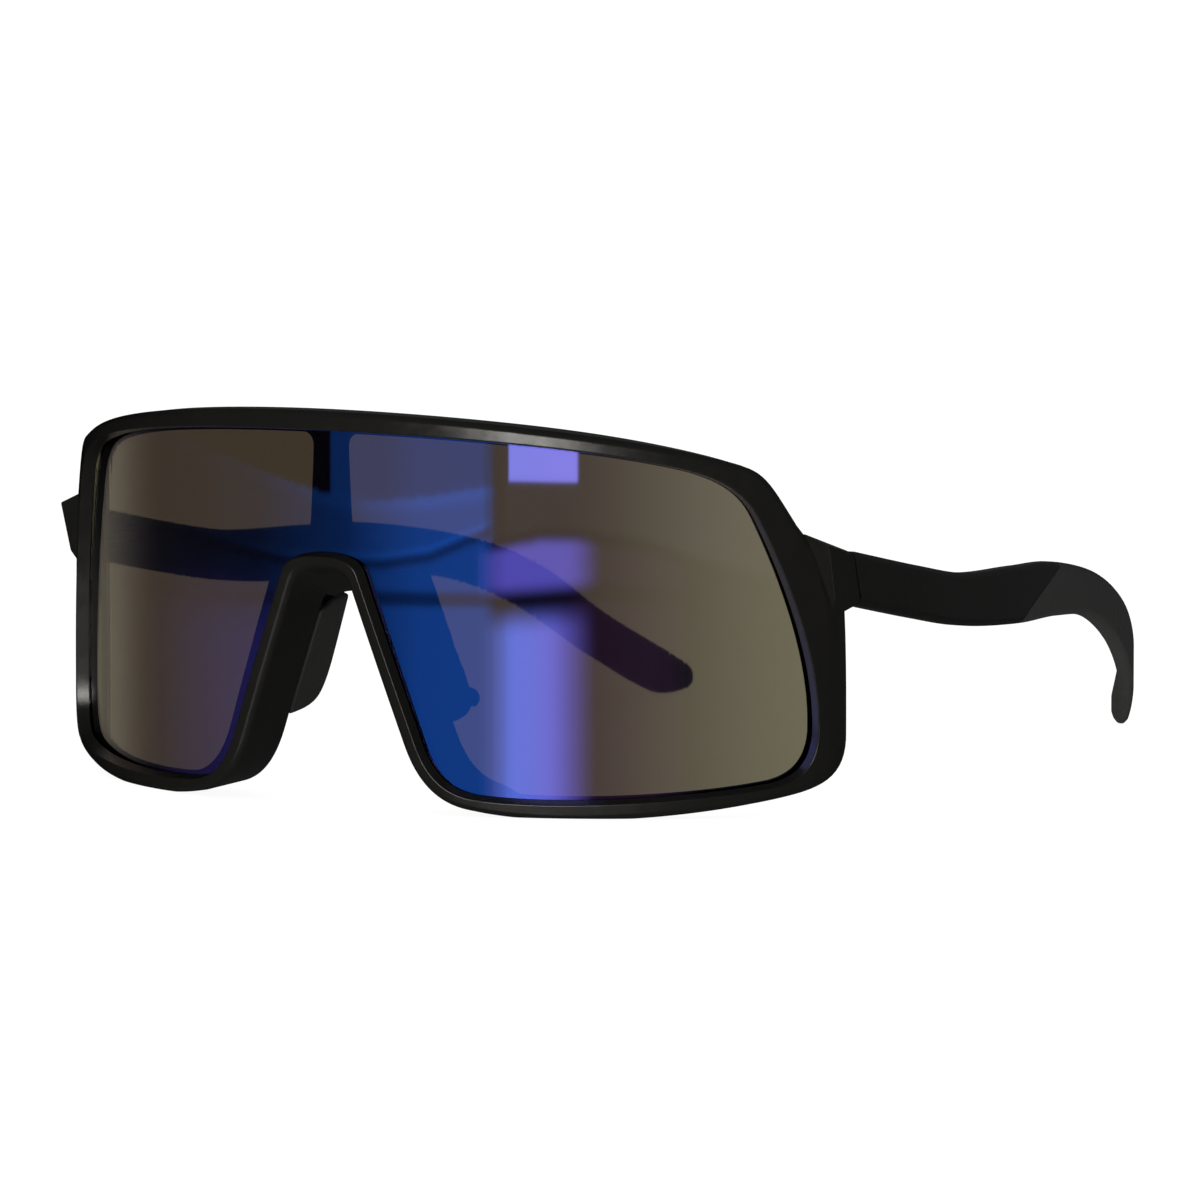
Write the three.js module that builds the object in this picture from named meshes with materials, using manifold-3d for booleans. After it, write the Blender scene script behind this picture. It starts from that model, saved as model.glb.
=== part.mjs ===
// Wraparound sport sunglasses with one wide shield lens, in millimetres.
// +X is the wearer's left, +Y runs back towards the ears, +Z is up.
// The open glasses stand on the lower edge of the front and on the two temple tips.

import * as THREE from 'three';
import { mergeVertices } from 'three/addons/utils/BufferGeometryUtils.js';
import { ConvexGeometry } from 'three/addons/geometries/ConvexGeometry.js';
import Module from 'manifold-3d';

const wasm = await Module();
wasm.setup();

// ---- driving dimensions ----

const LENS_RADIUS = 88.2; // front face of the lens, a cylinder about a vertical axis
const LENS_THICKNESS = 1.6;
const LENS_HELD = 1.2; // how far the lens reaches under the lip of the rim
const GAP = 0.3; // between pieces that touch or are pressed together
const LIP = 2.4; // how far the rim stands in front of the lens
const WALL_DRAFT = 0.3; // outward lean of the wall between the lens and the front edge of the rim
const CROWN = 0.34; // fall of the front face of the rim from its inner to its outer edge
const CHAMFER = [0.75, 0.76]; // along the outer edge of the face: across, and in depth
const RIM_BACK = 3.3; // rear face of the rim behind the lens front, at the middle
const RIM_BACK_SIDE = 2.4; // the same at the two ends, beside the lens
const RIM_BACK_OUTSIDE = 0.4; // and on the outer wall there
const LEDGE_BACK = 3; // rear face of the ledge that the lens rests on
const NOSE_FLANGE_DEPTH = 9.6; // how far the flange round the nose goes back
const FLANGE_THICKNESS = 2.6;
const NOSE_TOP = 45; // the nose side of the rim lies below this height
const EDGE_RADIUS = 0.4; // on the inner front edge of the rim
const REAR_BEVEL = 0.4; // on the rear edge of its side wall
const ARCH_DROP = 5; // fall of the nose arch from its front edge to its rear edge
const NOSE_DRAFT = 0.05; // outward lean of the nose flange and the pads, per mm of depth

// Where one shape of the rim passes into another, by distance round the lens or by height.
const FLANGE_FADES_ROUND = [24, 38];
const FLANGE_FALLS_HEIGHT = [32, 39.2];
const SQUARE_FROM_ROUND = [30, 60];
const SQUARE_FROM_HEIGHT = [32, 40];
const BACK_THINS_ROUND = [55, 78];
const OUTSIDE_THINS_ROUND = [62, 78];

const OVERALL_DEPTH = 178.4; // from the front of the rim to the temple tips
const SEAM_Y = 38; // joint between the front and a temple, at hinge height
const SEAM_LEAN = 0.27; // the seam leans forward at its top, mm per mm of height
const HINGE_Z = 36.8; // middle of the hinge
const HINGE_X = 68; // hinge axis
const HINGE_RADIUS = 1.5;
const SCREW_RADIUS = 0.72;
const RUNNING_CLEARANCE = 0.08;
const LEAF_THICKNESS = 0.9;
const LEAF_HALF_HEIGHT = 2.4;
const LEAF_LENGTH = 4.2; // of the frame leaf, forward of the hinge axis
const EYE_GAP = 0.15; // between neighbouring hinge eyes
const TIP_Y = 176;
const SPLIT_TOP_Y = 115; // where the ear sock begins on the top edge of the temple
const SPLIT_BOTTOM_Y = 93; // and on the bottom edge

const OVERCUT = 1; // how far a cutting body runs past what it cuts

const BLACK = 0x171716;

// Right half of the visible lens outline, unrolled: distance round the lens, height.
// Each row is the two handles and the end of one curve, from the nose arch round to the top.
const OPENING_START = [0, 40.2];
const OPENING = [
  [[3.2, 40.2], [6.2, 39.8], [7.2, 37.4]], // nose arch
  [[10.5, 28.6], [13.9, 19.7], [17.2, 10.9]], // nose side
  [[19, 6.2], [22, 3.7], [26.6, 3.2]], // lower inner corner
  [[38, 1.9], [62, 3.4], [72.4, 5.2]], // bottom
  [[76.6, 6.2], [79.4, 8.6], [78.9, 15.6]], // lower outer corner
  [[78.5, 25.5], [74.2, 36.8], [69.4, 46.4]], // side
  [[67.7, 49.8], [65, 52.2], [59.2, 53.9]], // upper outer corner
  [[45.2, 57.7], [20, 59.2], [0, 59.2]], // top
];
const OPENING_STEPS = [4, 3, 4, 8, 4, 5, 5, 9];

// Right half of the outer edge of the rim, in the same way.
const OUTER_START = [0, 37.7];
const OUTER = [
  [[2.2, 37.7], [4.4, 37.4], [5.2, 35.4]], // nose arch
  [[8.3, 27.2], [11.5, 19], [14.6, 10.9]], // nose side
  [[16.4, 6.1], [19.5, 1.6], [26, 0.8]], // lower inner corner
  [[38, -1.4], [58, -0.2], [73, 2.6]], // bottom
  [[79.8, 3.9], [84.8, 5], [84.7, 12.5]], // lower outer corner
  [[84.7, 19], [84.7, 26], [84.3, 32]], // side below the end piece
  [[84, 36.6], [80.7, 39.3], [76.1, 45.3]], // side above it
  [[71.8, 52.1], [71, 53.9], [66.5, 55]], // upper outer corner
  [[51, 59.8], [24, 62.4], [0, 62.4]], // top
];
const OUTER_STEPS = 12;

// Right window in the ledge behind the lens, from its lower inner corner round.
const WINDOW_START = [20.6, 12.4];
const WINDOW = [
  [[22, 8.4], [24.6, 4.2], [30, 3.5]],
  [[41, 2.4], [62, 3.6], [72.4, 5.4]],
  [[76.6, 6.4], [79.5, 8.8], [79, 15.7]],
  [[78.6, 25.5], [74.3, 36.8], [69.5, 46.4]],
  [[67.8, 49.8], [65, 52], [59.2, 53.7]],
  [[45.2, 57.3], [20, 58.7], [5, 58.8]],
  [[3.8, 58.8], [3, 58], [3, 56.8]],
  [[3.1, 53], [3.4, 48], [3.6, 44.6]],
  [[3.8, 41.2], [8.4, 44], [10.4, 39.6]],
  [[13.8, 30.5], [17.2, 21.4], [20.6, 12.4]],
];
const WINDOW_STEPS = [3, 5, 4, 4, 4, 7, 2, 1, 4, 3];

// Temple shape against the distance back from the lens: outer face, top, bottom, thickness.
const TEMPLE_OUTER = [[38, 74.2], [60, 74], [85, 72], [110, 68.6], [135, 63], [158, 55.8], [176, 43.8]];
const TEMPLE_TOP = [
  [38, 41], [58, 37.2], [75, 34.6], [95, 34], [112, 33.2], [134, 29.3], [150, 23.3], [163, 13.9], [171, 8.2],
  [176, 4.4],
];
const TEMPLE_BOTTOM = [
  [38, 32.6], [58, 28.8], [75, 26.1], [95, 24.7], [112, 24.4], [130, 22.5], [146, 16.5], [160, 7.3], [167.5, 2],
  [171.5, 0], [176, 0.9],
];
const TEMPLE_THICKNESS = [[38, 4.7], [60, 4.2], [100, 3.7], [140, 3.4], [176, 2.5]];
const TEMPLE_STATIONS = 24;
const TIP_CROWDING = 0.4; // sections stand closer together towards the tip
const TEMPLE_CHAMFER = 0.8;
const TANG_THICKNESS = 1.3;
const TANG_SHARE = 0.44; // of the height of the temple
const TANG_START_Y = 84;
const TANG_END_Y = 160;
const TANG_STATIONS = 10;

// ---- small helpers ----

const smooth = (value, low, high) => THREE.MathUtils.smoothstep(value, low, high);

function flipFaces(geometry) {
  const index = geometry.index.array;
  for (let i = 0; i < index.length; i += 3) {
    [index[i], index[i + 1]] = [index[i + 1], index[i]];
  }
  return geometry;
}

function bare(geometry) {
  const copy = geometry.clone();
  copy.deleteAttribute('normal');
  copy.deleteAttribute('uv');
  return mergeVertices(copy, 1e-4);
}

function toSolid(geometry) {
  const merged = bare(geometry);
  const vertProperties = new Float32Array(merged.attributes.position.array);
  const triVerts = new Uint32Array(merged.index.array);
  return new wasm.Manifold(new wasm.Mesh({ numProp: 3, vertProperties, triVerts }));
}

function toGeometry(solid) {
  const mesh = solid.getMesh();
  const geometry = new THREE.BufferGeometry();
  geometry.setAttribute('position', new THREE.BufferAttribute(mesh.vertProperties, 3));
  geometry.setIndex(new THREE.BufferAttribute(mesh.triVerts, 1));
  return geometry;
}

const join = (...geometries) => geometries.map(toSolid).reduce((sum, solid) => sum.add(solid));
const cut = (solid, ...geometries) => geometries.map(toSolid).reduce((rest, tool) => rest.subtract(tool), solid);

function mirrored(geometry) {
  const copy = bare(geometry);
  copy.applyMatrix4(new THREE.Matrix4().makeScale(-1, 1, 1));
  return flipFaces(copy);
}

function block(low, high) {
  const size = high.map((value, axis) => value - low[axis]);
  const box = new THREE.BoxGeometry(...size);
  return box.translate(low[0] + size[0] / 2, low[1] + size[1] / 2, low[2] + size[2] / 2);
}

function curvePath(start, rows) {
  const path = new THREE.CurvePath();
  let from = new THREE.Vector2(...start);
  for (const row of rows) {
    const [handleA, handleB, end] = row.map((pair) => new THREE.Vector2(...pair));
    path.add(new THREE.CubicBezierCurve(from, handleA, handleB, end));
    from = end;
  }
  return path;
}

// Points on each curve of a path, with the outward direction at each.
function stationsOn(path, steps) {
  const stations = [];
  path.curves.forEach((curve, i) => {
    for (let k = 0; k < steps[i]; k += 1) {
      stations.push(stationAt(curve, k / steps[i]));
    }
  });
  stations.push(stationAt(path.curves.at(-1), 1));
  return stations;
}

function stationAt(curve, t) {
  const tangent = curve.getTangent(t);
  return { point: curve.getPoint(t), outward: new THREE.Vector2(tangent.y, -tangent.x) };
}

// Both halves of a closed outline from the stations of its right half.
function bothHalves(rightHalf) {
  const leftHalf = rightHalf.slice(1, -1).reverse().map(({ point, outward }) => ({
    point: new THREE.Vector2(-point.x, point.y),
    outward: new THREE.Vector2(-outward.x, outward.y),
  }));
  return [...rightHalf, ...leftHalf];
}

const offsetPoints = (stations, distance) =>
  stations.map(({ point, outward }) => point.clone().addScaledVector(outward, distance));

// Places of a point given as distance round the lens, depth and height.
function wrappedSquare(round, depth, height) { // depth along the radius, as the lens has it
  const angle = round / LENS_RADIUS;
  const radius = LENS_RADIUS - depth;
  return [radius * Math.sin(angle), LENS_RADIUS - radius * Math.cos(angle), height];
}

function wrappedStraight(round, depth, height) { // depth straight back, as the mould opens
  const angle = round / LENS_RADIUS;
  return [LENS_RADIUS * Math.sin(angle), LENS_RADIUS - LENS_RADIUS * Math.cos(angle) + depth, height];
}

// Lowest and highest point of a closed outline at one distance round the lens.
function spanAt(points, round) {
  const heights = points.flatMap((from, i) => {
    const to = points[(i + 1) % points.length];
    const crosses = (from.x - round) * (to.x - round) <= 0 && from.x !== to.x;
    return crosses ? [THREE.MathUtils.mapLinear(round, from.x, to.x, from.y, to.y)] : [];
  });
  return [Math.min(...heights), Math.max(...heights)];
}

// A plate between two depths, wrapped round the lens cylinder and built of upright strips.
function wrappedPlate(points, front, back) {
  const narrowest = 0.7;
  const widest = 5;
  const edge = 0.01;
  const sorted = points.map(({ x }) => x).sort((a, b) => a - b);
  const columns = [sorted[0] + edge];
  for (const place of [...sorted.slice(1, -1), sorted.at(-1) - edge]) {
    const before = columns.at(-1);
    const strips = Math.ceil((place - before) / widest);
    if (place - before >= narrowest) {
      for (let k = 1; k <= strips; k += 1) {
        columns.push(before + ((place - before) * k) / strips);
      }
    }
  }
  columns[columns.length - 1] = sorted.at(-1) - edge;
  const rows = columns.map((round) => {
    const [low, high] = spanAt(points, round);
    return [[front, low], [front, high], [back, high], [back, low]].map(([depth, height]) =>
      wrappedSquare(round, depth, height));
  });
  return loft(rows, false);
}

// A closed skin through rows of points. A ring joins its last row to the first; others are capped.
function loft(rows, isRing) {
  const across = rows[0].length;
  const position = rows.flat(2);
  const index = [];
  const last = isRing ? rows.length : rows.length - 1;
  for (let i = 0; i < last; i += 1) {
    const next = (i + 1) % rows.length;
    for (let j = 0; j < across; j += 1) {
      const side = (j + 1) % across;
      const corners = [i * across + j, next * across + j, next * across + side, i * across + side];
      index.push(corners[0], corners[1], corners[2], corners[0], corners[2], corners[3]);
    }
  }
  if (!isRing) {
    const end = (rows.length - 1) * across;
    for (let j = 1; j < across - 1; j += 1) {
      index.push(0, j, j + 1);
      index.push(end, end + j + 1, end + j);
    }
  }
  const geometry = new THREE.BufferGeometry();
  geometry.setAttribute('position', new THREE.Float32BufferAttribute(position, 3));
  geometry.setIndex(index);
  return geometry;
}

// ---- the front ----

// Distance from a point along a direction to the outer edge of the rim.
function rimWidth({ point, outward }, outerPoints) {
  const slack = 1e-6; // for a direction that meets an end of the outline
  let nearest = Infinity;
  for (let i = 1; i < outerPoints.length; i += 1) {
    const from = outerPoints[i - 1];
    const edge = outerPoints[i].clone().sub(from);
    const away = from.clone().sub(point);
    const cross = outward.cross(edge);
    const along = away.cross(edge) / cross;
    const share = away.cross(outward) / cross;
    if (along > 0 && share >= -slack && share <= 1 + slack) {
      nearest = Math.min(nearest, along);
    }
  }
  return nearest;
}

// Cross-section of the rim at one station: a wall standing on the lens, a flat face, a chamfered
// side wall, and beside the nose a deep flange. The upper rim follows the lens square to it; the
// sides, the bottom and the nose run straight back.
function rimSection(station, outerPoints) {
  const { point, outward } = station;
  const width = rimWidth(station, outerPoints);
  const place = Math.abs(point.x);
  const nearNose = (1 - smooth(place, ...FLANGE_FADES_ROUND)) * (point.y < NOSE_TOP ? 1 : 0);
  const upper = smooth(point.y, ...SQUARE_FROM_HEIGHT) * smooth(place, ...SQUARE_FROM_ROUND);
  const draft = WALL_DRAFT * (1 + Math.max(0, -outward.y));
  const back = THREE.MathUtils.lerp(RIM_BACK, RIM_BACK_SIDE, smooth(place, ...BACK_THINS_ROUND));
  const outside = THREE.MathUtils.lerp(back, RIM_BACK_OUTSIDE, smooth(place, ...OUTSIDE_THINS_ROUND));
  const wallBack = THREE.MathUtils.lerp(outside, NOSE_FLANGE_DEPTH, nearNose);
  const lean = NOSE_DRAFT * wallBack * nearNose;
  const fall = ARCH_DROP * smooth(point.y, ...FLANGE_FALLS_HEIGHT) * nearNose;
  const flangeInside = width - FLANGE_THICKNESS;
  const profile = [ // distance out from the lens opening, depth, fall, how far square to the lens
    [0, back, 0, upper],
    [0, 0, 0, 1],
    [draft, EDGE_RADIUS - LIP, 0, 1],
    [draft + EDGE_RADIUS, -LIP, 0, 1],
    [width - CHAMFER[0], CROWN - LIP, 0, upper],
    [width, CROWN + CHAMFER[1] - LIP, 0, upper],
    [width - lean, wallBack - REAR_BEVEL, fall, upper],
    [width - lean - REAR_BEVEL, wallBack, fall, upper],
    [flangeInside - lean, THREE.MathUtils.lerp(back, wallBack, nearNose), fall, upper],
    [flangeInside, back, 0, upper],
  ];
  return profile.map(([aside, depth, lower, squareness]) => {
    const { x, y } = point.clone().addScaledVector(outward, aside);
    const proud = depth < 0 ? depth / Math.cos(x / LENS_RADIUS) : depth;
    const straight = wrappedStraight(x, proud, y - lower);
    const square = wrappedSquare(x, depth, y - lower);
    return straight.map((value, axis) => THREE.MathUtils.lerp(value, square[axis], squareness));
  });
}

function rimRing(openingStations, outerPoints) {
  const sections = bothHalves(openingStations).map((station) => rimSection(station, outerPoints));
  return flipFaces(loft(sections, true));
}

// The ledge behind the lens, with a window either side of an upright bar.
function ledgePlate(openingStations) {
  const inset = 2.2; // edge of the ledge beyond the lens opening, hidden inside the rim
  const front = LENS_THICKNESS / 2; // within the pocket that is cut for the lens
  const plate = wrappedPlate(offsetPoints(bothHalves(openingStations), inset), front, LEDGE_BACK);
  const windowStations = stationsOn(curvePath(WINDOW_START, WINDOW), WINDOW_STEPS).slice(0, -1);
  const opening = wrappedPlate(offsetPoints(windowStations, 0), 0, LEDGE_BACK + OVERCUT);
  return toGeometry(cut(toSolid(plate), opening, mirrored(opening)));
}

const seamAt = (z) => SEAM_Y - SEAM_LEAN * (z - HINGE_Z);

// End piece that carries the hinge, outboard of the rim, with a faceted front.
function endPiece() {
  const rear = (x, z) => [x, seamAt(z) - GAP / 2, z];
  const corners = [
    [68.9, 30.4, 44.1], [69.8, 30.7, 43.6], [73.2, 31, 42.3], [72.9, 33.3, 34.2], [66, 33, 43.4],
    rear(74.2, 40.3), rear(73.5, 41), rear(69.5, 41.2), rear(74.2, 33.3), rear(73.5, 32.6), rear(69.5, 32.6),
    [71.5, 34.4, 31.6], [72, 37, 31.4], [68.4, 36, 32.4],
  ];
  return new ConvexGeometry(corners.map((corner) => new THREE.Vector3(...corner)));
}

// Space for the knuckles, the screw head and the frame leaf of the hinge.
function hingeRecess() {
  const room = HINGE_RADIUS + GAP;
  const inboard = 3; // of the hinge axis, out through the inner face
  const screwHead = 1; // room above the upper eye
  const leafEnd = SEAM_Y - LEAF_LENGTH - GAP;
  const bottom = HINGE_Z - LEAF_HALF_HEIGHT - GAP;
  const leafTop = HINGE_Z + LEAF_HALF_HEIGHT + GAP;
  const leafX = HINGE_X + HINGE_RADIUS;
  const behindSeam = SEAM_Y + room + OVERCUT;
  return [
    block([HINGE_X - inboard, SEAM_Y - room, bottom], [leafX, behindSeam, leafTop + screwHead]),
    block([leafX - GAP, leafEnd, bottom], [leafX + LEAF_THICKNESS + GAP, behindSeam, leafTop]),
  ];
}

// ---- nose pads ----

// Local frame of a pad: x across the pad, away from the nose; y back; z up along the nose side.
function ontoNoseSide(geometry) {
  const [, , foot] = OUTER[1];
  const [, , top] = OUTER[0];
  const lean = Math.atan2(foot[0] - top[0], top[1] - foot[1]);
  const place = new THREE.Matrix4().makeTranslation(foot[0], 0, foot[1]);
  place.multiply(new THREE.Matrix4().makeRotationY(-lean));
  place.multiply(new THREE.Matrix4().makeRotationZ(-Math.atan(NOSE_DRAFT)));
  return bare(geometry).applyMatrix4(place);
}

const PAD_THICKNESS = 1.5;
const CARRIER_THICKNESS = 1.2;
const STUD_Y = 14.6;
const STUD_HEIGHT = 4.7; // of the stud above the foot of the nose side
const STUD_RADIUS = 0.8;
const CARRIER_X = PAD_THICKNESS + GAP;

// A plate standing across the local x axis, its outline given by depth and height.
function sidePlate(shape, from, thickness, bevel) {
  const plate = new THREE.ExtrudeGeometry(shape, {
    depth: thickness - 2 * bevel,
    bevelEnabled: bevel > 0,
    bevelThickness: bevel,
    bevelSize: bevel,
    bevelOffset: -bevel,
    bevelSegments: 1,
    curveSegments: 4,
  });
  plate.rotateX(Math.PI / 2);
  plate.rotateZ(Math.PI / 2);
  return plate.translate(from + bevel, 0, 0);
}

function padShape() {
  const shape = new THREE.Shape();
  shape.moveTo(11.3, 1.7);
  shape.bezierCurveTo(14, 2, 17.2, 2.2, 18.6, 3.9);
  shape.bezierCurveTo(19.7, 5.3, 19.7, 8, 19.4, 11);
  shape.lineTo(18, 21.9);
  shape.bezierCurveTo(15.5, 22.3, 14.5, 20.2, 10.6, 19.9);
  return shape;
}

// Pin through the carrier, with a flared head that holds the pad on.
function padStud() {
  const root = PAD_THICKNESS - 0.5; // sunk into the pad
  const headBase = CARRIER_X + CARRIER_THICKNESS + 2 * GAP;
  const profile = [
    [0, root], [STUD_RADIUS, root], [STUD_RADIUS, headBase],
    [STUD_RADIUS + 0.9, headBase + 0.2], [STUD_RADIUS + 0.7, headBase + 1.4], [0.5, headBase + 2.2],
    [0, headBase + 2.2],
  ];
  const stud = new THREE.LatheGeometry(profile.map((pair) => new THREE.Vector2(...pair)), 12);
  return stud.rotateZ(-Math.PI / 2).translate(0, STUD_Y, STUD_HEIGHT);
}

function nosePad() {
  const pad = join(sidePlate(padShape(), 0, PAD_THICKNESS, 0.3), padStud());
  return ontoNoseSide(toGeometry(pad));
}

// Tab of the front that a pad lies on, with the hole for the stud.
function padCarrier() {
  const shape = new THREE.Shape();
  shape.moveTo(8, 2.2);
  shape.lineTo(14.4, 2.4);
  shape.lineTo(16.5, 3.8);
  shape.lineTo(16.3, 9);
  shape.lineTo(17, 14);
  shape.lineTo(16.6, 26.6);
  shape.lineTo(8, 26.6);
  const hole = new THREE.Path();
  hole.absarc(STUD_Y, STUD_HEIGHT, STUD_RADIUS + GAP, 0, 2 * Math.PI);
  shape.holes.push(hole);
  return ontoNoseSide(sidePlate(shape, CARRIER_X, CARRIER_THICKNESS, 0));
}

// The whole front in one moulding.
function frontFrame(openingStations) {
  const outerPath = curvePath(OUTER_START, OUTER);
  const rightPoints = outerPath.curves.flatMap((curve) => curve.getPoints(OUTER_STEPS));
  const leftPoints = rightPoints.map(({ x, y }) => new THREE.Vector2(-x, y)).reverse();
  const outerPoints = [...rightPoints, ...leftPoints];
  const pocketEdge = offsetPoints(bothHalves(openingStations), LENS_HELD + GAP);
  const pocket = wrappedPlate(pocketEdge, -GAP, LENS_THICKNESS + GAP);
  const belowFloor = block([-100, -10, -10], [100, 60, 0]);
  const whole = join(
    rimRing(openingStations, outerPoints),
    ledgePlate(openingStations),
    endPiece(),
    mirrored(endPiece()),
    padCarrier(),
    mirrored(padCarrier()),
  );
  return toGeometry(cut(
    whole,
    pocket,
    belowFloor,
    ...hingeRecess(),
    ...hingeRecess().map(mirrored),
  ));
}

function shieldLens(openingStations) {
  return wrappedPlate(offsetPoints(bothHalves(openingStations), LENS_HELD), 0, LENS_THICKNESS);
}

// ---- temples ----

function along(pairs) {
  const curve = new THREE.SplineCurve(pairs.map((pair) => new THREE.Vector2(...pair)));
  const points = curve.getPoints(12 * pairs.length);
  return (y) => {
    const after = Math.max(1, points.findIndex((point) => point.x >= y - 1e-6));
    const [low, high] = [points[after - 1], points[after]];
    return THREE.MathUtils.mapLinear(y, low.x, high.x, low.y, high.y);
  };
}

const templeOuter = along(TEMPLE_OUTER);
const templeTop = along(TEMPLE_TOP);
const templeBottomCurve = along(TEMPLE_BOTTOM);
const templeBottom = (y) => Math.max(0, templeBottomCurve(y)); // flat where it stands
const templeThickness = along(TEMPLE_THICKNESS);

// Upright section of the temple: a slab with four chamfered edges. The first one leans as the seam.
function templeSection(y, isFirst) {
  const outer = templeOuter(y);
  const inner = outer - templeThickness(y);
  const top = templeTop(y);
  const bottom = templeBottom(y);
  const c = TEMPLE_CHAMFER;
  const corners = [
    [outer, bottom + c], [outer, top - c], [outer - c, top], [inner + c, top],
    [inner, top - c], [inner, bottom + c], [inner + c, bottom], [outer - c, bottom],
  ];
  return corners.map(([x, z]) => [x, isFirst ? seamAt(z) + GAP / 2 : y, z]);
}

function templeArm() {
  const sections = [templeSection(SEAM_Y, true)];
  for (let i = 1; i <= TEMPLE_STATIONS; i += 1) {
    const share = i / TEMPLE_STATIONS;
    const closerToTip = share * (1 + TIP_CROWDING * (1 - share));
    sections.push(templeSection(THREE.MathUtils.lerp(SEAM_Y, TIP_Y, closerToTip), false));
  }
  return loft(sections, false);
}

// Core of the temple inside the ear sock, grown by an allowance.
function tang(allowance) {
  const sections = [];
  for (let i = 0; i <= TANG_STATIONS; i += 1) {
    const end = TANG_END_Y + allowance;
    const y = THREE.MathUtils.lerp(TANG_START_Y, end, i / TANG_STATIONS);
    const middle = templeOuter(y) - templeThickness(y) / 2;
    const centre = (templeTop(y) + templeBottom(y)) / 2;
    const halfHeight = TANG_SHARE * (templeTop(y) - templeBottom(y)) / 2 + allowance;
    const half = TANG_THICKNESS / 2 + allowance;
    sections.push([
      [middle + half, y, centre - halfHeight],
      [middle + half, y, centre + halfHeight],
      [middle - half, y, centre + halfHeight],
      [middle - half, y, centre - halfHeight],
    ]);
  }
  return loft(sections, false);
}

// Everything behind the slanting edge between temple and ear sock.
function behindSplit(shift) {
  const shape = new THREE.Shape();
  const top = SPLIT_TOP_Y + shift;
  const bottom = SPLIT_BOTTOM_Y + shift;
  const above = 50; // clear of the temple all round
  const below = -20;
  const behind = 200;
  const inside = 30;
  const depth = 60;
  shape.moveTo(bottom, 10);
  shape.lineTo(bottom, 23.5);
  shape.bezierCurveTo(bottom + 3, 26.8, top - 10, 29.6, top, 34.2);
  shape.lineTo(top, above);
  shape.lineTo(behind, above);
  shape.lineTo(behind, below);
  shape.lineTo(behind - 50, below);
  const slab = new THREE.ExtrudeGeometry(shape, { depth, bevelEnabled: false, curveSegments: 4 });
  slab.rotateX(Math.PI / 2);
  slab.rotateZ(Math.PI / 2);
  return slab.translate(inside, 0, 0);
}

function templeBody() {
  const recessEnd = SEAM_Y + 9.3; // past the rear end of the leaf
  const bottom = HINGE_Z - LEAF_HALF_HEIGHT - GAP;
  const top = HINGE_Z + LEAF_HALF_HEIGHT + GAP;
  const leafFace = HINGE_X + HINGE_RADIUS + LEAF_THICKNESS + GAP;
  const recess = block([HINGE_X - 1, SEAM_Y - 3, bottom], [leafFace, recessEnd, top]);
  const front = cut(toSolid(templeArm()), behindSplit(0), recess);
  return toGeometry(front.add(toSolid(tang(0))));
}

function earSock() {
  const rear = toSolid(templeArm()).intersect(toSolid(behindSplit(GAP)));
  return toGeometry(cut(rear, tang(GAP)));
}

// ---- hinges ----

// One knuckle with its web out to the leaf, seen from above and drawn about the hinge axis.
function hingeEye(low, high) {
  const webHalf = 0.9;
  const reach = HINGE_RADIUS + LEAF_THICKNESS;
  const turn = Math.asin(webHalf / HINGE_RADIUS);
  const shape = new THREE.Shape();
  shape.moveTo(reach, -webHalf);
  shape.lineTo(reach, webHalf);
  shape.absarc(0, 0, HINGE_RADIUS, turn, 2 * Math.PI - turn, false);
  const hole = new THREE.Path();
  hole.absarc(0, 0, SCREW_RADIUS + RUNNING_CLEARANCE, 0, 2 * Math.PI, true);
  shape.holes.push(hole);
  const eye = new THREE.ExtrudeGeometry(shape, {
    depth: high - low,
    bevelEnabled: false,
    curveSegments: 12,
  });
  return eye.translate(HINGE_X, SEAM_Y, low);
}

const LEAF_X = [HINGE_X + HINGE_RADIUS, HINGE_X + HINGE_RADIUS + LEAF_THICKNESS];
const LEAF_Z = [HINGE_Z - LEAF_HALF_HEIGHT, HINGE_Z + LEAF_HALF_HEIGHT];
const EYE_HEIGHT = (2 * LEAF_HALF_HEIGHT - 2 * EYE_GAP) / 3;
const KNUCKLE_ROOM = HINGE_RADIUS + GAP;

function leafPlate(fromY, toY, low, high) {
  return block([LEAF_X[0], fromY, low], [LEAF_X[1], toY, high]);
}

function frameHinge() {
  const plateEnd = SEAM_Y - KNUCKLE_ROOM;
  const upper = LEAF_Z[1] - EYE_HEIGHT;
  const lower = LEAF_Z[0] + EYE_HEIGHT;
  return toGeometry(join(
    leafPlate(SEAM_Y - LEAF_LENGTH, plateEnd, ...LEAF_Z),
    leafPlate(plateEnd - 0.1, SEAM_Y, LEAF_Z[0], lower),
    leafPlate(plateEnd - 0.1, SEAM_Y, upper, LEAF_Z[1]),
    hingeEye(LEAF_Z[0], lower),
    hingeEye(upper, LEAF_Z[1]),
  ));
}

function templeHinge() {
  const plateStart = SEAM_Y + KNUCKLE_ROOM;
  const low = LEAF_Z[0] + EYE_HEIGHT + EYE_GAP;
  const high = LEAF_Z[1] - EYE_HEIGHT - EYE_GAP;
  return toGeometry(join(
    leafPlate(plateStart, SEAM_Y + 9, ...LEAF_Z),
    leafPlate(SEAM_Y, plateStart + 0.1, low, high),
    hingeEye(low, high),
  ));
}

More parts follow.
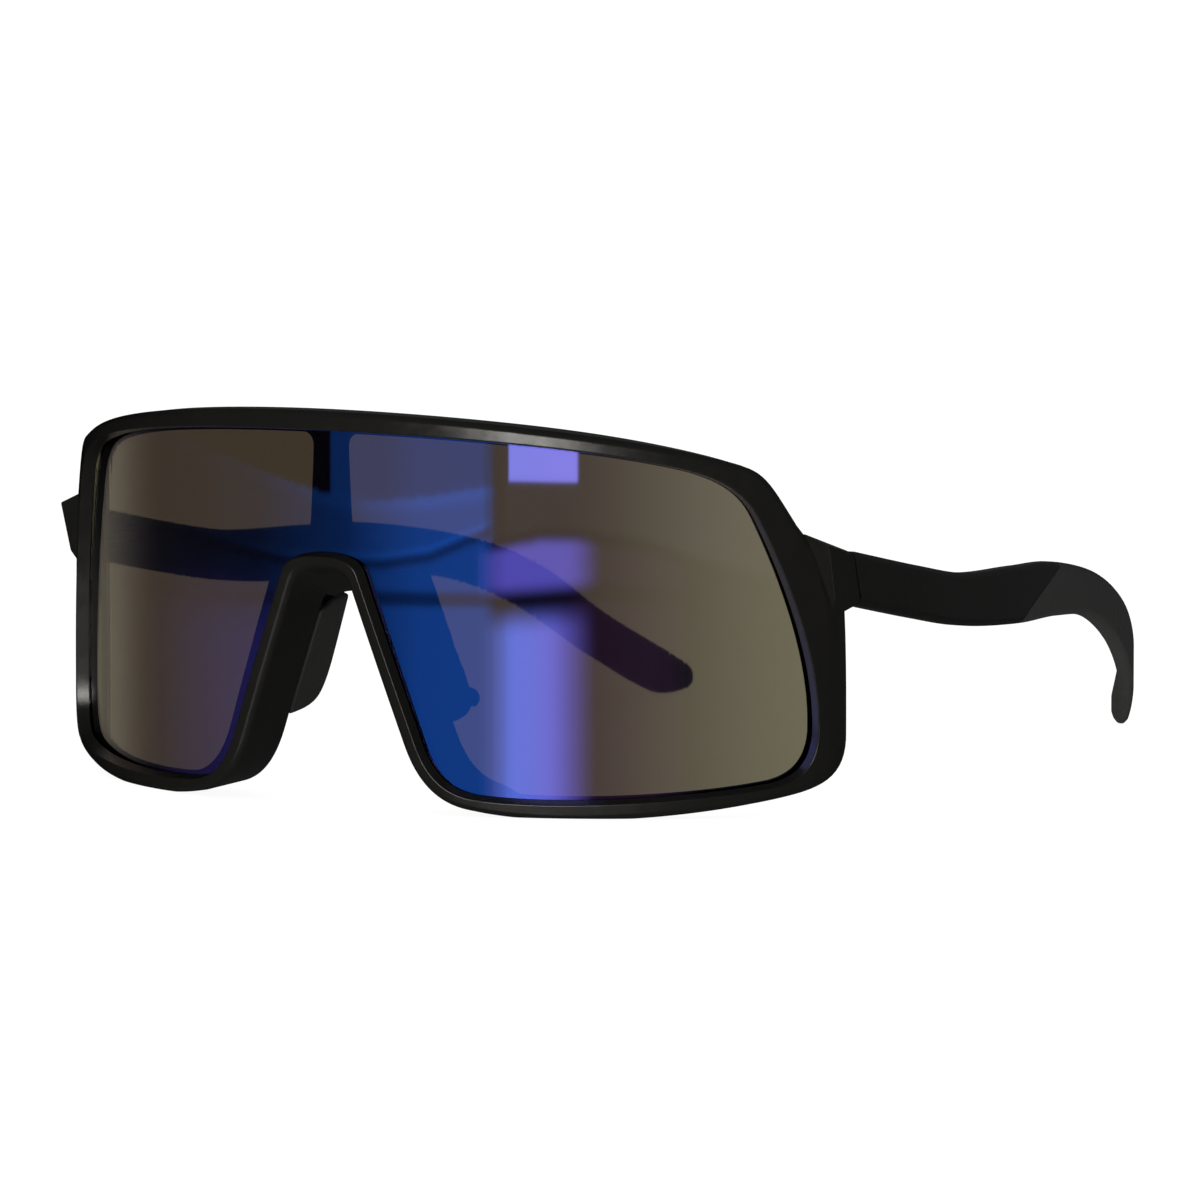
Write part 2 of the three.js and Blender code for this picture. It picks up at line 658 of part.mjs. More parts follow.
function hingeScrew() {
  const headRadius = 1.25;
  const headBase = LEAF_Z[1] + 0.1;
  const headTop = headBase + 0.8;
  const profile = [
    [0, LEAF_Z[0] - 0.2], [SCREW_RADIUS - 0.2, LEAF_Z[0] - 0.2], [SCREW_RADIUS, LEAF_Z[0]],
    [SCREW_RADIUS, headBase], [headRadius, headBase], [headRadius, headTop - 0.25],
    [headRadius - 0.3, headTop], [0, headTop],
  ];
  const turned = new THREE.LatheGeometry(profile.map((pair) => new THREE.Vector2(...pair)), 16);
  turned.rotateX(Math.PI / 2).translate(HINGE_X, SEAM_Y, 0);
  const slot = block([HINGE_X - 2, SEAM_Y - 0.2, headTop - 0.4], [HINGE_X + 2, SEAM_Y + 0.2, headTop + 1]);
  return toGeometry(cut(toSolid(turned), slot));
}

// ---- assembly ----

const plastic = () => new THREE.MeshStandardMaterial({ color: BLACK, roughness: 0.45, metalness: 0 });
const rubber = () => new THREE.MeshStandardMaterial({ color: 0x20201f, roughness: 0.75, metalness: 0 });
const steel = () => new THREE.MeshStandardMaterial({ color: 0x8d8f92, roughness: 0.3, metalness: 1 });
const mirrorLens = () => new THREE.MeshStandardMaterial({ color: 0x24305c, roughness: 0.06, metalness: 0.4 });

function named(name, geometry, material) {
  const mesh = new THREE.Mesh(geometry, material);
  mesh.name = name;
  return mesh;
}

function pair(name, makeGeometry, makeMaterial) {
  const left = makeGeometry();
  return [
    named(`${name}_left`, left, makeMaterial()),
    named(`${name}_right`, mirrored(left), makeMaterial()),
  ];
}

const openingStations = stationsOn(curvePath(OPENING_START, OPENING), OPENING_STEPS);
const glasses = new THREE.Group();
glasses.add(
  named('front_frame', frontFrame(openingStations), plastic()),
  named('shield_lens', shieldLens(openingStations), mirrorLens()),
  ...pair('nose_pad', nosePad, rubber),
  ...pair('temple', templeBody, plastic),
  ...pair('ear_sock', earSock, rubber),
  ...pair('frame_hinge', frameHinge, steel),
  ...pair('temple_hinge', templeHinge, steel),
  ...pair('hinge_screw', hingeScrew, steel),
);
glasses.position.y = LIP - OVERALL_DEPTH / 2;

const sunglasses = new THREE.Group();
sunglasses.add(glasses);

export default sunglasses;
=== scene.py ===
"""Looks for wraparound sport sunglasses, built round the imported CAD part.

Shapes are worked out in millimetres from the apex of the lens (x to the wearer's left, y back,
z up from the floor), then moved into the frame, which is in metres.
"""

import math

import bmesh
import bpy
import numpy as np
from mathutils import Matrix, Vector

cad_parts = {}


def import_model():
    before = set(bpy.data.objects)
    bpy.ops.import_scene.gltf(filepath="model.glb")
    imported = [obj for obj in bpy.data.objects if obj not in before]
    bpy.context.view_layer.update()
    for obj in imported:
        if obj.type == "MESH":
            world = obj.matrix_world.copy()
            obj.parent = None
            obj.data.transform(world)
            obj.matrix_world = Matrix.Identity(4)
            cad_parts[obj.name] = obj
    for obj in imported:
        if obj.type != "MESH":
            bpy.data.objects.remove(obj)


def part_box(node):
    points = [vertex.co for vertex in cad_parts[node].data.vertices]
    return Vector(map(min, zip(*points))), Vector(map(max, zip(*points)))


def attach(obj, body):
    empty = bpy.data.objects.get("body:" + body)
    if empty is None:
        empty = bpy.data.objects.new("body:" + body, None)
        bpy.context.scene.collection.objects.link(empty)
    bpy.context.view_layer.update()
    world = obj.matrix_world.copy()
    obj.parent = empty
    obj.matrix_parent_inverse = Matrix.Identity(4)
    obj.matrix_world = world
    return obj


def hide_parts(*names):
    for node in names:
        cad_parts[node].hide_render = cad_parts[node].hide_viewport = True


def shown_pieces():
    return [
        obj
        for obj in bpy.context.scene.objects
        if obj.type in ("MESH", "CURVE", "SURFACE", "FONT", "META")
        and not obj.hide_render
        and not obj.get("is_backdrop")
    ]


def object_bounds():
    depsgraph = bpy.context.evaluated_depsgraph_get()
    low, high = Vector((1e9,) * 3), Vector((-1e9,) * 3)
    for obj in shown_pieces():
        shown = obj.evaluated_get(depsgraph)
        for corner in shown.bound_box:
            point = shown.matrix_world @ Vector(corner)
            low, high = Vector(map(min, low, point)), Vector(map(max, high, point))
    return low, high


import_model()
CAD_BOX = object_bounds()

# ---- driving dimensions, in millimetres ----

MM = 0.001
LENS_RADIUS = 88.2
LENS_THICKNESS = 1.6
LENS_HELD = 1.2  # of the lens in the groove of the rim
GAP = 0.3  # between neighbouring pieces
LIP = 2.4  # of the rim in front of the lens
WALL_DRAFT = 0.3  # slope of the wall round the lens
CROWN = 0.34  # fall of the front of the rim from its inner to its outer edge
RIM_BACK = 3.3  # depth of the rim behind the front of the lens, in the middle
RIM_BACK_SIDE = 2.4
RIM_BACK_OUTSIDE = 0.4
LEDGE_FRONT = LENS_THICKNESS + GAP
LEDGE_BACK = 3.0
NOSE_FLANGE_DEPTH = 9.6
FLANGE_THICKNESS = 2.6
ARCH_DROP = 5.0  # of the flange towards the back, over the nose
NOSE_DRAFT = 0.05
LEDGE_REACH = 1.2  # of the ledge into the rim
RIM_INSIDE = 0.9  # from the edge of the opening out to the inner face of the rim behind the lens
FRONT_CORNER = 0.75  # the slope at the outer front corner of the rim: across, then back
FRONT_CORNER_DEPTH = 0.76
RIM_RADII = [0, 0, 0, 0, 0, 0.28, 0.3, 0.4, 0.45, 0.3, 0.3]  # at the corners of its section
OVERCUT = 1.0  # of a cutter past what it cuts

# Where the section of the rim changes, by distance round the lens or by height.
FLANGE_FADES_ROUND = (24, 38)
FLANGE_ENDS_HEIGHT = 45
FLANGE_FALLS_HEIGHT = (32, 39.2)
BACK_THINS_ROUND = (55, 78)
OUTSIDE_THINS_ROUND = (62, 78)
SQUARE_FROM_ROUND = (30, 60)
SQUARE_FROM_HEIGHT = (32, 40)

SEAM_Y = 38.0
SEAM_LEAN = 0.27  # forward for each millimetre up
HINGE_X = 68.0
HINGE_Z = 36.8
HINGE_RADIUS = 1.5
SCREW_RADIUS = 0.72
RUNNING_CLEARANCE = 0.08
LEAF_THICKNESS = 0.9
LEAF_HALF_HEIGHT = 2.4
FRAME_LEAF_LENGTH = 4.2
TEMPLE_LEAF_LENGTH = 9
LEAF_OVERLAP = 0.1  # between the plates of one leaf
LEAF_EDGE = 0.08  # rounding of the hinges
EYE_GAP = 0.15
WEB_HALF = 0.9  # of what joins an eye to its leaf
SCREW_HEAD_RADIUS = 1.25
SCREW_HEAD_HEIGHT = 0.8
SCREW_SLOT_HALF = 0.2
SCREW_SLOT_DEPTH = 0.4
TIP_Y = 176.0
SPLIT_TOP = (115.0, 34.2)  # ends of the edge between temple and ear sock
SPLIT_BOTTOM = (93.0, 23.5)
SPLIT_STEPS = 40
END_PIECE_EDGE = 0.22

# Half of the visible lens outline, on the wearer's left, unrolled: distance round the lens, height.
# Each row is the two handles and the end of one curve, from the nose arch round to the top.
OPENING_START = (0, 40.2)
OPENING = [
    [(3.2, 40.2), (6.2, 39.8), (7.2, 37.4)],
    [(10.5, 28.6), (13.9, 19.7), (17.2, 10.9)],
    [(19, 6.2), (22, 3.7), (26.6, 3.2)],
    [(38, 1.9), (62, 3.4), (72.4, 5.2)],
    [(76.6, 6.2), (79.4, 8.6), (78.9, 15.6)],
    [(78.5, 25.5), (74.2, 36.8), (69.4, 46.4)],
    [(67.7, 49.8), (65, 52.2), (59.2, 53.9)],
    [(45.2, 57.7), (20, 59.2), (0, 59.2)],
]
OPENING_STEPS = [16, 28, 20, 48, 22, 34, 20, 56]

# Half of the outer edge of the rim, in the same way.
OUTER_START = (0, 37.7)
OUTER = [
    [(2.2, 37.7), (4.4, 37.4), (5.2, 35.4)],
    [(8.3, 27.2), (11.5, 19), (14.6, 10.9)],
    [(16.4, 6.1), (19.5, 1.6), (26, 0.8)],
    [(38, -1.4), (58, -0.2), (73, 2.6)],
    [(79.8, 3.9), (84.8, 5), (84.7, 12.5)],
    [(84.7, 19), (84.7, 26), (84.3, 32)],
    [(84, 36.6), (80.7, 39.3), (76.1, 45.3)],
    [(71.8, 52.1), (71, 53.9), (66.5, 55)],
    [(51, 59.8), (24, 62.4), (0, 62.4)],
]
OUTER_STEPS = [40] * len(OUTER)

# The window on the wearer's left in the ledge behind the lens, from its lower inner corner round.
WINDOW_START = (20.6, 12.4)
WINDOW = [
    [(22, 8.4), (24.6, 4.2), (30, 3.5)],
    [(41, 2.4), (62, 3.6), (72.4, 5.4)],
    [(76.6, 6.4), (79.5, 8.8), (79, 15.7)],
    [(78.6, 25.5), (74.3, 36.8), (69.5, 46.4)],
    [(67.8, 49.8), (65, 52), (59.2, 53.7)],
    [(45.2, 57.3), (20, 58.7), (5, 58.8)],
    [(3.8, 58.8), (3, 58), (3, 56.8)],
    [(3.1, 53), (3.4, 48), (3.6, 44.6)],
    [(3.8, 41.2), (8.4, 44), (10.4, 39.6)],
    [(13.8, 30.5), (17.2, 21.4), (20.6, 12.4)],
]
WINDOW_STEPS = [12, 24, 14, 24, 12, 36, 8, 6, 14, 20]

# Temple shape against the distance back from the lens: outer face, top, bottom, thickness.
TEMPLE_OUTER = [(38, 74.2), (60, 74), (85, 72), (110, 68.6), (135, 63), (158, 55.8), (176, 43.8)]
TEMPLE_TOP = [
    (38, 41), (58, 37.2), (75, 34.6), (95, 34), (112, 33.2),
    (134, 29.3), (150, 23.3), (163, 13.9), (171, 8.2), (176, 4.4),
]
TEMPLE_BOTTOM = [
    (38, 32.6), (58, 28.8), (75, 26.1), (95, 24.7), (112, 24.4), (130, 22.5),
    (146, 16.5), (160, 7.3), (167.5, 2), (171.5, 0), (176, 0.9),
]
TEMPLE_THICKNESS = [(38, 4.7), (60, 4.2), (100, 3.7), (140, 3.4), (176, 2.5)]
TEMPLE_STATIONS = 190
TEMPLE_CHAMFER = 0.8
TEMPLE_CORNER_RADIUS = 0.35
TIP_ROUNDING = 1.2
TIP_STATIONS = 10
TANG_THICKNESS = 1.3
TANG_SHARE = 0.44  # of the height of the temple
TANG_Y = (84.0, 160.0)
TANG_STATIONS = 40

BACK_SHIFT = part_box("front_frame")[0][1] / MM + LIP  # from the lens apex into the frame


# ---- shape helpers ----


def to_frame(points):
    """Points in millimetres from the lens apex, as metres in the frame."""
    return (np.asarray(points, dtype=float) + (0.0, BACK_SHIFT, 0.0)) * MM


def smooth_step(value, low, high):
    """0 up to the low limit, 1 from the high one, eased between."""
    t = np.clip((value - low) / (high - low), 0, 1)
    return t * t * (3 - 2 * t)


def mix(a, b, t):
    return a + (b - a) * t


def bezier(start, row, count):
    """Points and outward directions on one curve, without its end."""
    p = np.array([start, *row], dtype=float)
    t = (np.arange(count) / count)[:, None]
    rest = 1 - t
    point = rest**3 * p[0] + 3 * rest**2 * t * p[1] + 3 * rest * t * t * p[2] + t**3 * p[3]
    tangent = 3 * rest**2 * (p[1] - p[0]) + 6 * rest * t * (p[2] - p[1]) + 3 * t * t * (p[3] - p[2])
    tangent /= np.linalg.norm(tangent, axis=1)[:, None]
    return point, np.stack([tangent[:, 1], -tangent[:, 0]], axis=1)


def stations(start, rows, steps):
    """Points along a chain of curves, with the outward direction at each."""
    points, outwards = [], []
    for row, count in zip(rows, steps):
        point, outward = bezier(start, row, count)
        points.append(point)
        outwards.append(outward)
        start = row[-1]
    points.append(np.array([rows[-1][-1]], dtype=float))
    outwards.append(outwards[-1][-1:])
    return np.concatenate(points), np.concatenate(outwards)


def both_halves(points, outwards):
    """A whole closed outline from the half on the wearer's left."""
    flip = (-1, 1)
    other_points = points[1:-1][::-1] * flip
    other_outwards = outwards[1:-1][::-1] * flip
    return np.concatenate([points, other_points]), np.concatenate([outwards, other_outwards])


def eased(outwards, passes):
    """Outward directions of a closed outline with the small kinks between its curves taken out."""
    for _ in range(passes):
        outwards = outwards + 0.5 * (np.roll(outwards, 1, axis=0) + np.roll(outwards, -1, axis=0))
        outwards /= np.linalg.norm(outwards, axis=1)[:, None]
    return outwards


def wrapped_square(round_lens, depth, height):
    """Depth along the radius, as the lens has it."""
    angle = round_lens / LENS_RADIUS
    radius = LENS_RADIUS - depth
    back = LENS_RADIUS - radius * np.cos(angle)
    return np.stack([radius * np.sin(angle), back, height + 0 * angle], axis=-1)


def wrapped_straight(round_lens, depth, height):
    """Depth straight back, as the mould opens."""
    angle = round_lens / LENS_RADIUS
    back = LENS_RADIUS - LENS_RADIUS * np.cos(angle) + depth
    return np.stack([LENS_RADIUS * np.sin(angle), back, height + 0 * angle], axis=-1)


def rounded(corners, radii, segments=4):
    """Sections with each corner rounded. corners is sections x corners x 3."""
    most = 0.48  # of an edge that the rounding of one corner may take
    shortest = 1e-9
    sections = []
    for i, radius in enumerate(radii):
        corner = corners[:, i]
        if radius == 0:
            sections.append(corner[:, None])
            continue
        before = corners[:, i - 1] - corner
        after = corners[:, (i + 1) % len(radii)] - corner
        arms = []
        for arm in (before, after):
            length = np.linalg.norm(arm, axis=1)[:, None]
            arms.append(arm * np.minimum(radius / np.maximum(length, shortest), most))
        for k in range(segments + 1):
            t = k / segments
            sections.append((corner + arms[0] * (1 - t) ** 2 + arms[1] * t * t)[:, None])
    return np.concatenate(sections, axis=1)


def loft(sections, is_ring):
    """Points and faces of a closed skin through sections; a ring joins its last to its first."""
    count, across = sections.shape[:2]
    faces = []
    for i in range(count if is_ring else count - 1):
        after = (i + 1) % count
        for j in range(across):
            side = (j + 1) % across
            faces.append((i * across + j, after * across + j, after * across + side, i * across + side))
    if not is_ring:
        faces.append(tuple(range(across)))
        faces.append(tuple((count - 1) * across + j for j in reversed(range(across))))
    return sections.reshape(-1, 3), faces


def spans(outline, round_lens):
    """Lowest and highest point of a closed outline at one distance round the lens."""
    after = np.roll(outline, -1, axis=0)
    astride = (outline[:, 0] - round_lens) * (after[:, 0] - round_lens) <= 0
    crosses = astride & (outline[:, 0] != after[:, 0])
    share = (round_lens - outline[crosses, 0]) / (after[crosses, 0] - outline[crosses, 0])
    heights = outline[crosses, 1] + share * (after[crosses, 1] - outline[crosses, 1])
    return heights.min(), heights.max()


def wrapped_plate(outline, front, back, widest=1.5, narrowest=0.12):
    """A plate between two depths, wrapped round the lens cylinder, as upright strips."""
    places = np.sort(outline[:, 0])
    end_inset = 0.01
    columns = [places[0] + end_inset]
    for place in [*places[1:-1], places[-1] - end_inset]:
        room = place - columns[-1]
        if room >= narrowest:
            count = math.ceil(room / widest)
            columns.extend(columns[-1] + room * np.arange(1, count + 1) / count)
    columns = np.array(columns)
    low, high = np.array([spans(outline, place) for place in columns]).T
    corners = [(front, low), (front, high), (back, high), (back, low)]
    rows = np.stack([wrapped_square(columns, depth, height) for depth, height in corners], axis=1)
    return loft(rows, False)


def catmull(pairs, steps=24):
    """A function through pairs of distance back and value, smooth between them."""
    points = np.array(pairs, dtype=float)
    extended = np.concatenate([points[:1], points, points[-1:]])
    t = np.linspace(0, 1, steps, endpoint=False)[:, None]
    curves = []
    for p0, p1, p2, p3 in zip(extended, extended[1:], extended[2:], extended[3:]):
        v0, v1 = (p2 - p0) / 2, (p3 - p1) / 2
        cubic = (2 * p1 - 2 * p2 + v0 + v1) * t**3
        square = (-3 * p1 + 3 * p2 - 2 * v0 - v1) * t**2
        curves.append(cubic + square + v0 * t + p1)
    curve = np.concatenate([*curves, points[-1:]])
    return lambda y: np.interp(y, curve[:, 0], curve[:, 1])


# ---- Blender helpers ----


def new_piece(name, points, faces):
    """A mesh object from points in millimetres, its faces pointing out."""
    mesh = bpy.data.meshes.new(name)
    mesh.from_pydata(to_frame(points).tolist(), [], faces)
    work = bmesh.new()
    work.from_mesh(mesh)
    bmesh.ops.recalc_face_normals(work, faces=work.faces)
    if work.calc_volume(signed=True) < 0:
        bmesh.ops.reverse_faces(work, faces=work.faces)
    work.to_mesh(mesh)
    work.free()
    piece = bpy.data.objects.new(name, mesh)
    bpy.context.scene.collection.objects.link(piece)
    return piece


def settle(piece):
    """Turns the piece's modifiers into its mesh."""
    graph = bpy.context.evaluated_depsgraph_get()
    mesh = bpy.data.meshes.new_from_object(piece.evaluated_get(graph))
    piece.modifiers.clear()
    old = piece.data
    piece.data = mesh
    mesh.name = piece.name
    bpy.data.meshes.remove(old)
    return piece


def combine(piece, tool, operation):
    """Joins a tool to a piece or cuts it away, and removes the tool."""
    step = piece.modifiers.new(operation, "BOOLEAN")
    step.operation = operation
    step.object = tool
    step.solver = "MANIFOLD"
    settle(piece)
    bpy.data.meshes.remove(tool.data)
    return piece


def bevelled(piece, width, segments=3, angle=30):
    """Rounds the edges of a piece that are sharper than an angle."""
    step = piece.modifiers.new("bevel", "BEVEL")
    step.width = width * MM
    step.segments = segments
    step.limit_method = "ANGLE"
    step.angle_limit = math.radians(angle)
    step.harden_normals = False
    return settle(piece)


def shaded(piece, angle=32):
    """Smooth shading, with edges sharper than an angle kept crisp and wide faces kept flat."""
    piece.data.shade_smooth()
    piece.data.set_sharp_from_angle(angle=math.radians(angle))
    step = piece.modifiers.new("normals", "WEIGHTED_NORMAL")
    step.keep_sharp = True
    return settle(piece)


def mirrored(piece, name):
    """A copy of a left piece for the right side."""
    mesh = piece.data.copy()
    mesh.name = name
    mesh.transform(Matrix.Scale(-1, 4, (1, 0, 0)))
    mesh.flip_normals()
    copy = bpy.data.objects.new(name, mesh)
    bpy.context.scene.collection.objects.link(copy)
    return copy


def block(name, low, high):
    """A box to cut with, or to bevel into a plate."""
    xs, ys, zs = zip(low, high)
    corners = [(x, y, z) for x in xs for y in ys for z in zs]
    faces = [(0, 1, 3, 2), (4, 6, 7, 5), (0, 4, 5, 1), (2, 3, 7, 6), (0, 2, 6, 4), (1, 5, 7, 3)]
    return new_piece(name, corners, faces)


def prism(name, outline, thickness, place):
    """An outline given thickness: place turns (a, b, c) into x, y, z, with c through the thickness."""
    sections = np.array([[place(a, b, c) for a, b in outline] for c in thickness])
    return new_piece(name, *loft(sections, False))


def turned(name, profile, place, sides=48):
    """A solid of revolution from (radius, height) points, put where place says."""
    angles = 2 * math.pi * np.arange(sides) / sides
    sections = []
    for radius, height in profile:
        if radius == 0:
            sections.append([place(0, 0, height)] * sides)
        else:
            sections.append([place(radius * math.cos(a), radius * math.sin(a), height) for a in angles])
    piece = new_piece(name, *loft(np.array(sections), False))
    same_spot = 1e-7
    work = bmesh.new()
    work.from_mesh(piece.data)
    bmesh.ops.remove_doubles(work, verts=work.verts, dist=same_spot)
    bmesh.ops.dissolve_degenerate(work, edges=work.edges, dist=same_spot)
    bmesh.ops.recalc_face_normals(work, faces=work.faces)
    work.to_mesh(piece.data)
    work.free()
    return piece


# ---- the front ----


def rim_width(points, outwards, outer):
    """Distance from each point along its direction to the outer edge of the rim."""
    start, edge = outer[:-1], outer[1:] - outer[:-1]
    slack = 1e-6
    widths = []
    for point, outward in zip(points, outwards):
        away = start - point
        cross = outward[0] * edge[:, 1] - outward[1] * edge[:, 0]
        with np.errstate(divide="ignore", invalid="ignore"):  # an edge along the direction is never met
            along = (away[:, 0] * edge[:, 1] - away[:, 1] * edge[:, 0]) / cross
            share = (away[:, 0] * outward[1] - away[:, 1] * outward[0]) / cross
        met = (along > 0) & (share >= -slack) & (share <= 1 + slack)
        widths.append(along[met].min())
    return np.array(widths)


def rim_corners(points, outwards, outer):
    """Corners of the rim's cross-section at each station, as stations x corners x 3."""
    width = rim_width(points, outwards, outer)
    from_middle, height = np.abs(points[:, 0]), points[:, 1]
    near_nose = (1 - smooth_step(from_middle, *FLANGE_FADES_ROUND)) * (height < FLANGE_ENDS_HEIGHT)
    back = mix(RIM_BACK, RIM_BACK_SIDE, smooth_step(from_middle, *BACK_THINS_ROUND))
    outside = mix(back, RIM_BACK_OUTSIDE, smooth_step(from_middle, *OUTSIDE_THINS_ROUND))
    wall_back = mix(outside, NOSE_FLANGE_DEPTH, near_nose)
    lean = NOSE_DRAFT * wall_back * near_nose
    fall = ARCH_DROP * smooth_step(height, *FLANGE_FALLS_HEIGHT) * near_nose
    none = 0 * width
    groove = LENS_HELD + GAP
    draft = WALL_DRAFT * (1 + np.maximum(0, -outwards[:, 1]))
    upper = smooth_step(height, *SQUARE_FROM_HEIGHT) * smooth_step(from_middle, *SQUARE_FROM_ROUND)

    def corner(aside, depth, lower=none, squareness=upper):
        """A corner so far outward and so deep. Square ones follow the lens, others the mould."""
        spot = points + outwards * np.reshape(aside + none, (-1, 1))
        depth = depth + none
        proud = np.where(depth < 0, depth / np.cos(spot[:, 0] / LENS_RADIUS), depth)
        straight = wrapped_straight(spot[:, 0], proud, spot[:, 1] - lower)
        square = wrapped_square(spot[:, 0], depth, spot[:, 1] - lower)
        return mix(straight, square, np.reshape(squareness + none, (-1, 1)))

    flange_inside = width - FLANGE_THICKNESS
    corners = [
        corner(RIM_INSIDE, back),
        corner(RIM_INSIDE, LEDGE_FRONT, squareness=1),
        corner(groove, LEDGE_FRONT, squareness=1),
        corner(groove, -GAP, squareness=1),
        corner(0, -GAP, squareness=1),
        corner(draft, -LIP, squareness=1),
        corner(width - FRONT_CORNER, CROWN - LIP),
        corner(width, CROWN + FRONT_CORNER_DEPTH - LIP),
        corner(width - lean, wall_back, fall),
        corner(flange_inside - lean, mix(back, wall_back, near_nose), fall),
        corner(flange_inside, back),
    ]
    return np.stack(corners, axis=1)


def opening_outline(passes=6):
    points, outwards = both_halves(*stations(OPENING_START, OPENING, OPENING_STEPS))
    return points, eased(outwards, passes)


def rim_ring():
    points, outwards = opening_outline()
    half, _ = stations(OUTER_START, OUTER, OUTER_STEPS)
    outer = np.concatenate([half, half[::-1] * (-1, 1)])
    corners = rim_corners(points, outwards, outer)
    return new_piece("rim", *loft(rounded(corners, RIM_RADII), True))


def ledge():
    """The ledge behind the lens, with a window either side of an upright bar."""
    points, outwards = opening_outline()
    edge = points + LEDGE_REACH * outwards
    plate = new_piece("ledge", *wrapped_plate(edge, LEDGE_FRONT, LEDGE_BACK))
    window, _ = stations(WINDOW_START, WINDOW, WINDOW_STEPS)
    window = window[:-1]
    for side in (1, -1):
        hole = new_piece("window", *wrapped_plate(window * (side, 1), 0, LEDGE_BACK + 2 * OVERCUT))
        combine(plate, hole, "DIFFERENCE")
    return plate


def seam_at(z):
    """How far back the leaning joint between front and temple is at one height."""
    return SEAM_Y - SEAM_LEAN * (z - HINGE_Z)


def hull(name, corners):
    """The solid with flat faces round some corners."""
    piece = new_piece(name, corners, [])
    work = bmesh.new()
    work.from_mesh(piece.data)
    result = bmesh.ops.convex_hull(work, input=work.verts)
    spare = {v for v in result["geom_interior"] if isinstance(v, bmesh.types.BMVert)}
    bmesh.ops.delete(work, geom=list(spare), context="VERTS")
    bmesh.ops.dissolve_limit(work, angle_limit=math.radians(1), verts=work.verts, edges=work.edges)
    bmesh.ops.recalc_face_normals(work, faces=work.faces)
    work.to_mesh(piece.data)
    work.free()
    return piece


def end_piece():
    """The part outboard of the rim that carries the left hinge, with a faceted front."""

    def rear(x, z):
        return (x, seam_at(z) - GAP / 2, z)

    corners = [
        (68.9, 30.4, 44.1), (69.8, 30.7, 43.6), (73.2, 31, 42.3), (72.9, 33.3, 34.2), (66, 33, 43.4),
        rear(74.2, 40.3), rear(73.5, 41), rear(69.5, 41.2),
        rear(74.2, 33.3), rear(73.5, 32.6), rear(69.5, 32.6),
        (71.5, 34.4, 31.6), (72, 37, 31.4), (68.4, 36, 32.4),
    ]
    return bevelled(hull("end_piece", corners), END_PIECE_EDGE, angle=12)


def hinge_recess():
    """Room for the knuckles, the screw head and the frame leaf of the left hinge."""
    room = HINGE_RADIUS + GAP
    inward = 2 * HINGE_RADIUS
    bottom = HINGE_Z - LEAF_HALF_HEIGHT - GAP
    top = HINGE_Z + LEAF_HALF_HEIGHT + GAP
    leaf_x = HINGE_X + HINGE_RADIUS
    knuckles = block(
        "room",
        (HINGE_X - inward, SEAM_Y - room, bottom),
        (leaf_x, SEAM_Y + room + OVERCUT, top + OVERCUT),
    )
    leaf = block(
        "room",
        (leaf_x - GAP, SEAM_Y - FRAME_LEAF_LENGTH - GAP, bottom),
        (leaf_x + LEAF_THICKNESS + GAP, SEAM_Y + 3 * OVERCUT, top),
    )
    return [knuckles, leaf]


# ---- nose pads ----

# Outlines run back and up the nose side.
PAD_THICKNESS = 1.5
PAD_START = (11.3, 1.7)
PAD = [
    [(14, 2), (17.2, 2.2), (18.6, 3.9)],
    [(19.7, 5.3), (19.7, 8), (19.4, 11)],
    [(19, 14.6), (18.5, 18.2), (18, 21.9)],
    [(15.5, 22.3), (14.5, 20.2), (10.6, 19.9)],
]
PAD_STEPS = [12, 12, 12, 16]
PAD_FRONT_STEPS = 14
PAD_ROUNDING = 0.45
CARRIER = [(8, 2.2), (14.4, 2.4), (16.5, 3.8), (16.3, 9), (17, 14), (16.6, 26.6), (8, 26.6)]
CARRIER_THICKNESS = 1.2
CARRIER_EDGE = 0.2
CARRIER_X = (PAD_THICKNESS + GAP, PAD_THICKNESS + GAP + CARRIER_THICKNESS)
STUD_Y = 14.6
STUD_HEIGHT = 4.7
STUD_RADIUS = 0.8
STUD_START = 1.0
# Head of the stud: how much wider than the stud, and how far past the start of the head.
STUD_HEAD = [(0, -0.15), (0.2, 0), (0.45, 0.12), (0.55, 0.4), (0.8, 1.2), (0.4, 1.75)]
STUD_TIP = [(0.55, 2.05), (0.25, 2.18), (0, 2.2)]  # radius, and how far past it


def onto_nose_side(across, back, up):
    """A point given across from the nose side, back, and up along it, in millimetres."""
    top, foot = np.array(OUTER[0][-1]), np.array(OUTER[1][-1])
    lean = math.atan2(foot[0] - top[0], top[1] - foot[1])
    yaw = -math.atan(NOSE_DRAFT)
    x = across * math.cos(yaw) - back * math.sin(yaw)
    y = across * math.sin(yaw) + back * math.cos(yaw)
    return (
        foot[0] + x * math.cos(lean) - up * math.sin(lean),
        y,
        foot[1] + x * math.sin(lean) + up * math.cos(lean),
    )


def on_nose_side(a, b, c):
    return onto_nose_side(c, a, b)


def round_stud(x, y, z):
    return onto_nose_side(z, STUD_Y + x, STUD_HEIGHT + y)


def rod(radius, low, high):
    """Profile of a plain rod, to turn."""
    return [(0, low), (radius, low), (radius, high), (0, high)]


def pad_outline():
    points, _ = stations(PAD_START, PAD, PAD_STEPS)
    side = [mix(points[-1], points[0], t) for t in np.linspace(0, 1, PAD_FRONT_STEPS)[1:-1]]
    return np.concatenate([points, side])


def pad_stud():
    head = CARRIER_X[1] + 2 * GAP
    profile = [(0, STUD_START), (STUD_RADIUS, STUD_START)]
    profile += [(STUD_RADIUS + wider, head + past) for wider, past in STUD_HEAD]
    profile += [(radius, head + past) for radius, past in STUD_TIP]
    return turned("stud", profile, round_stud)


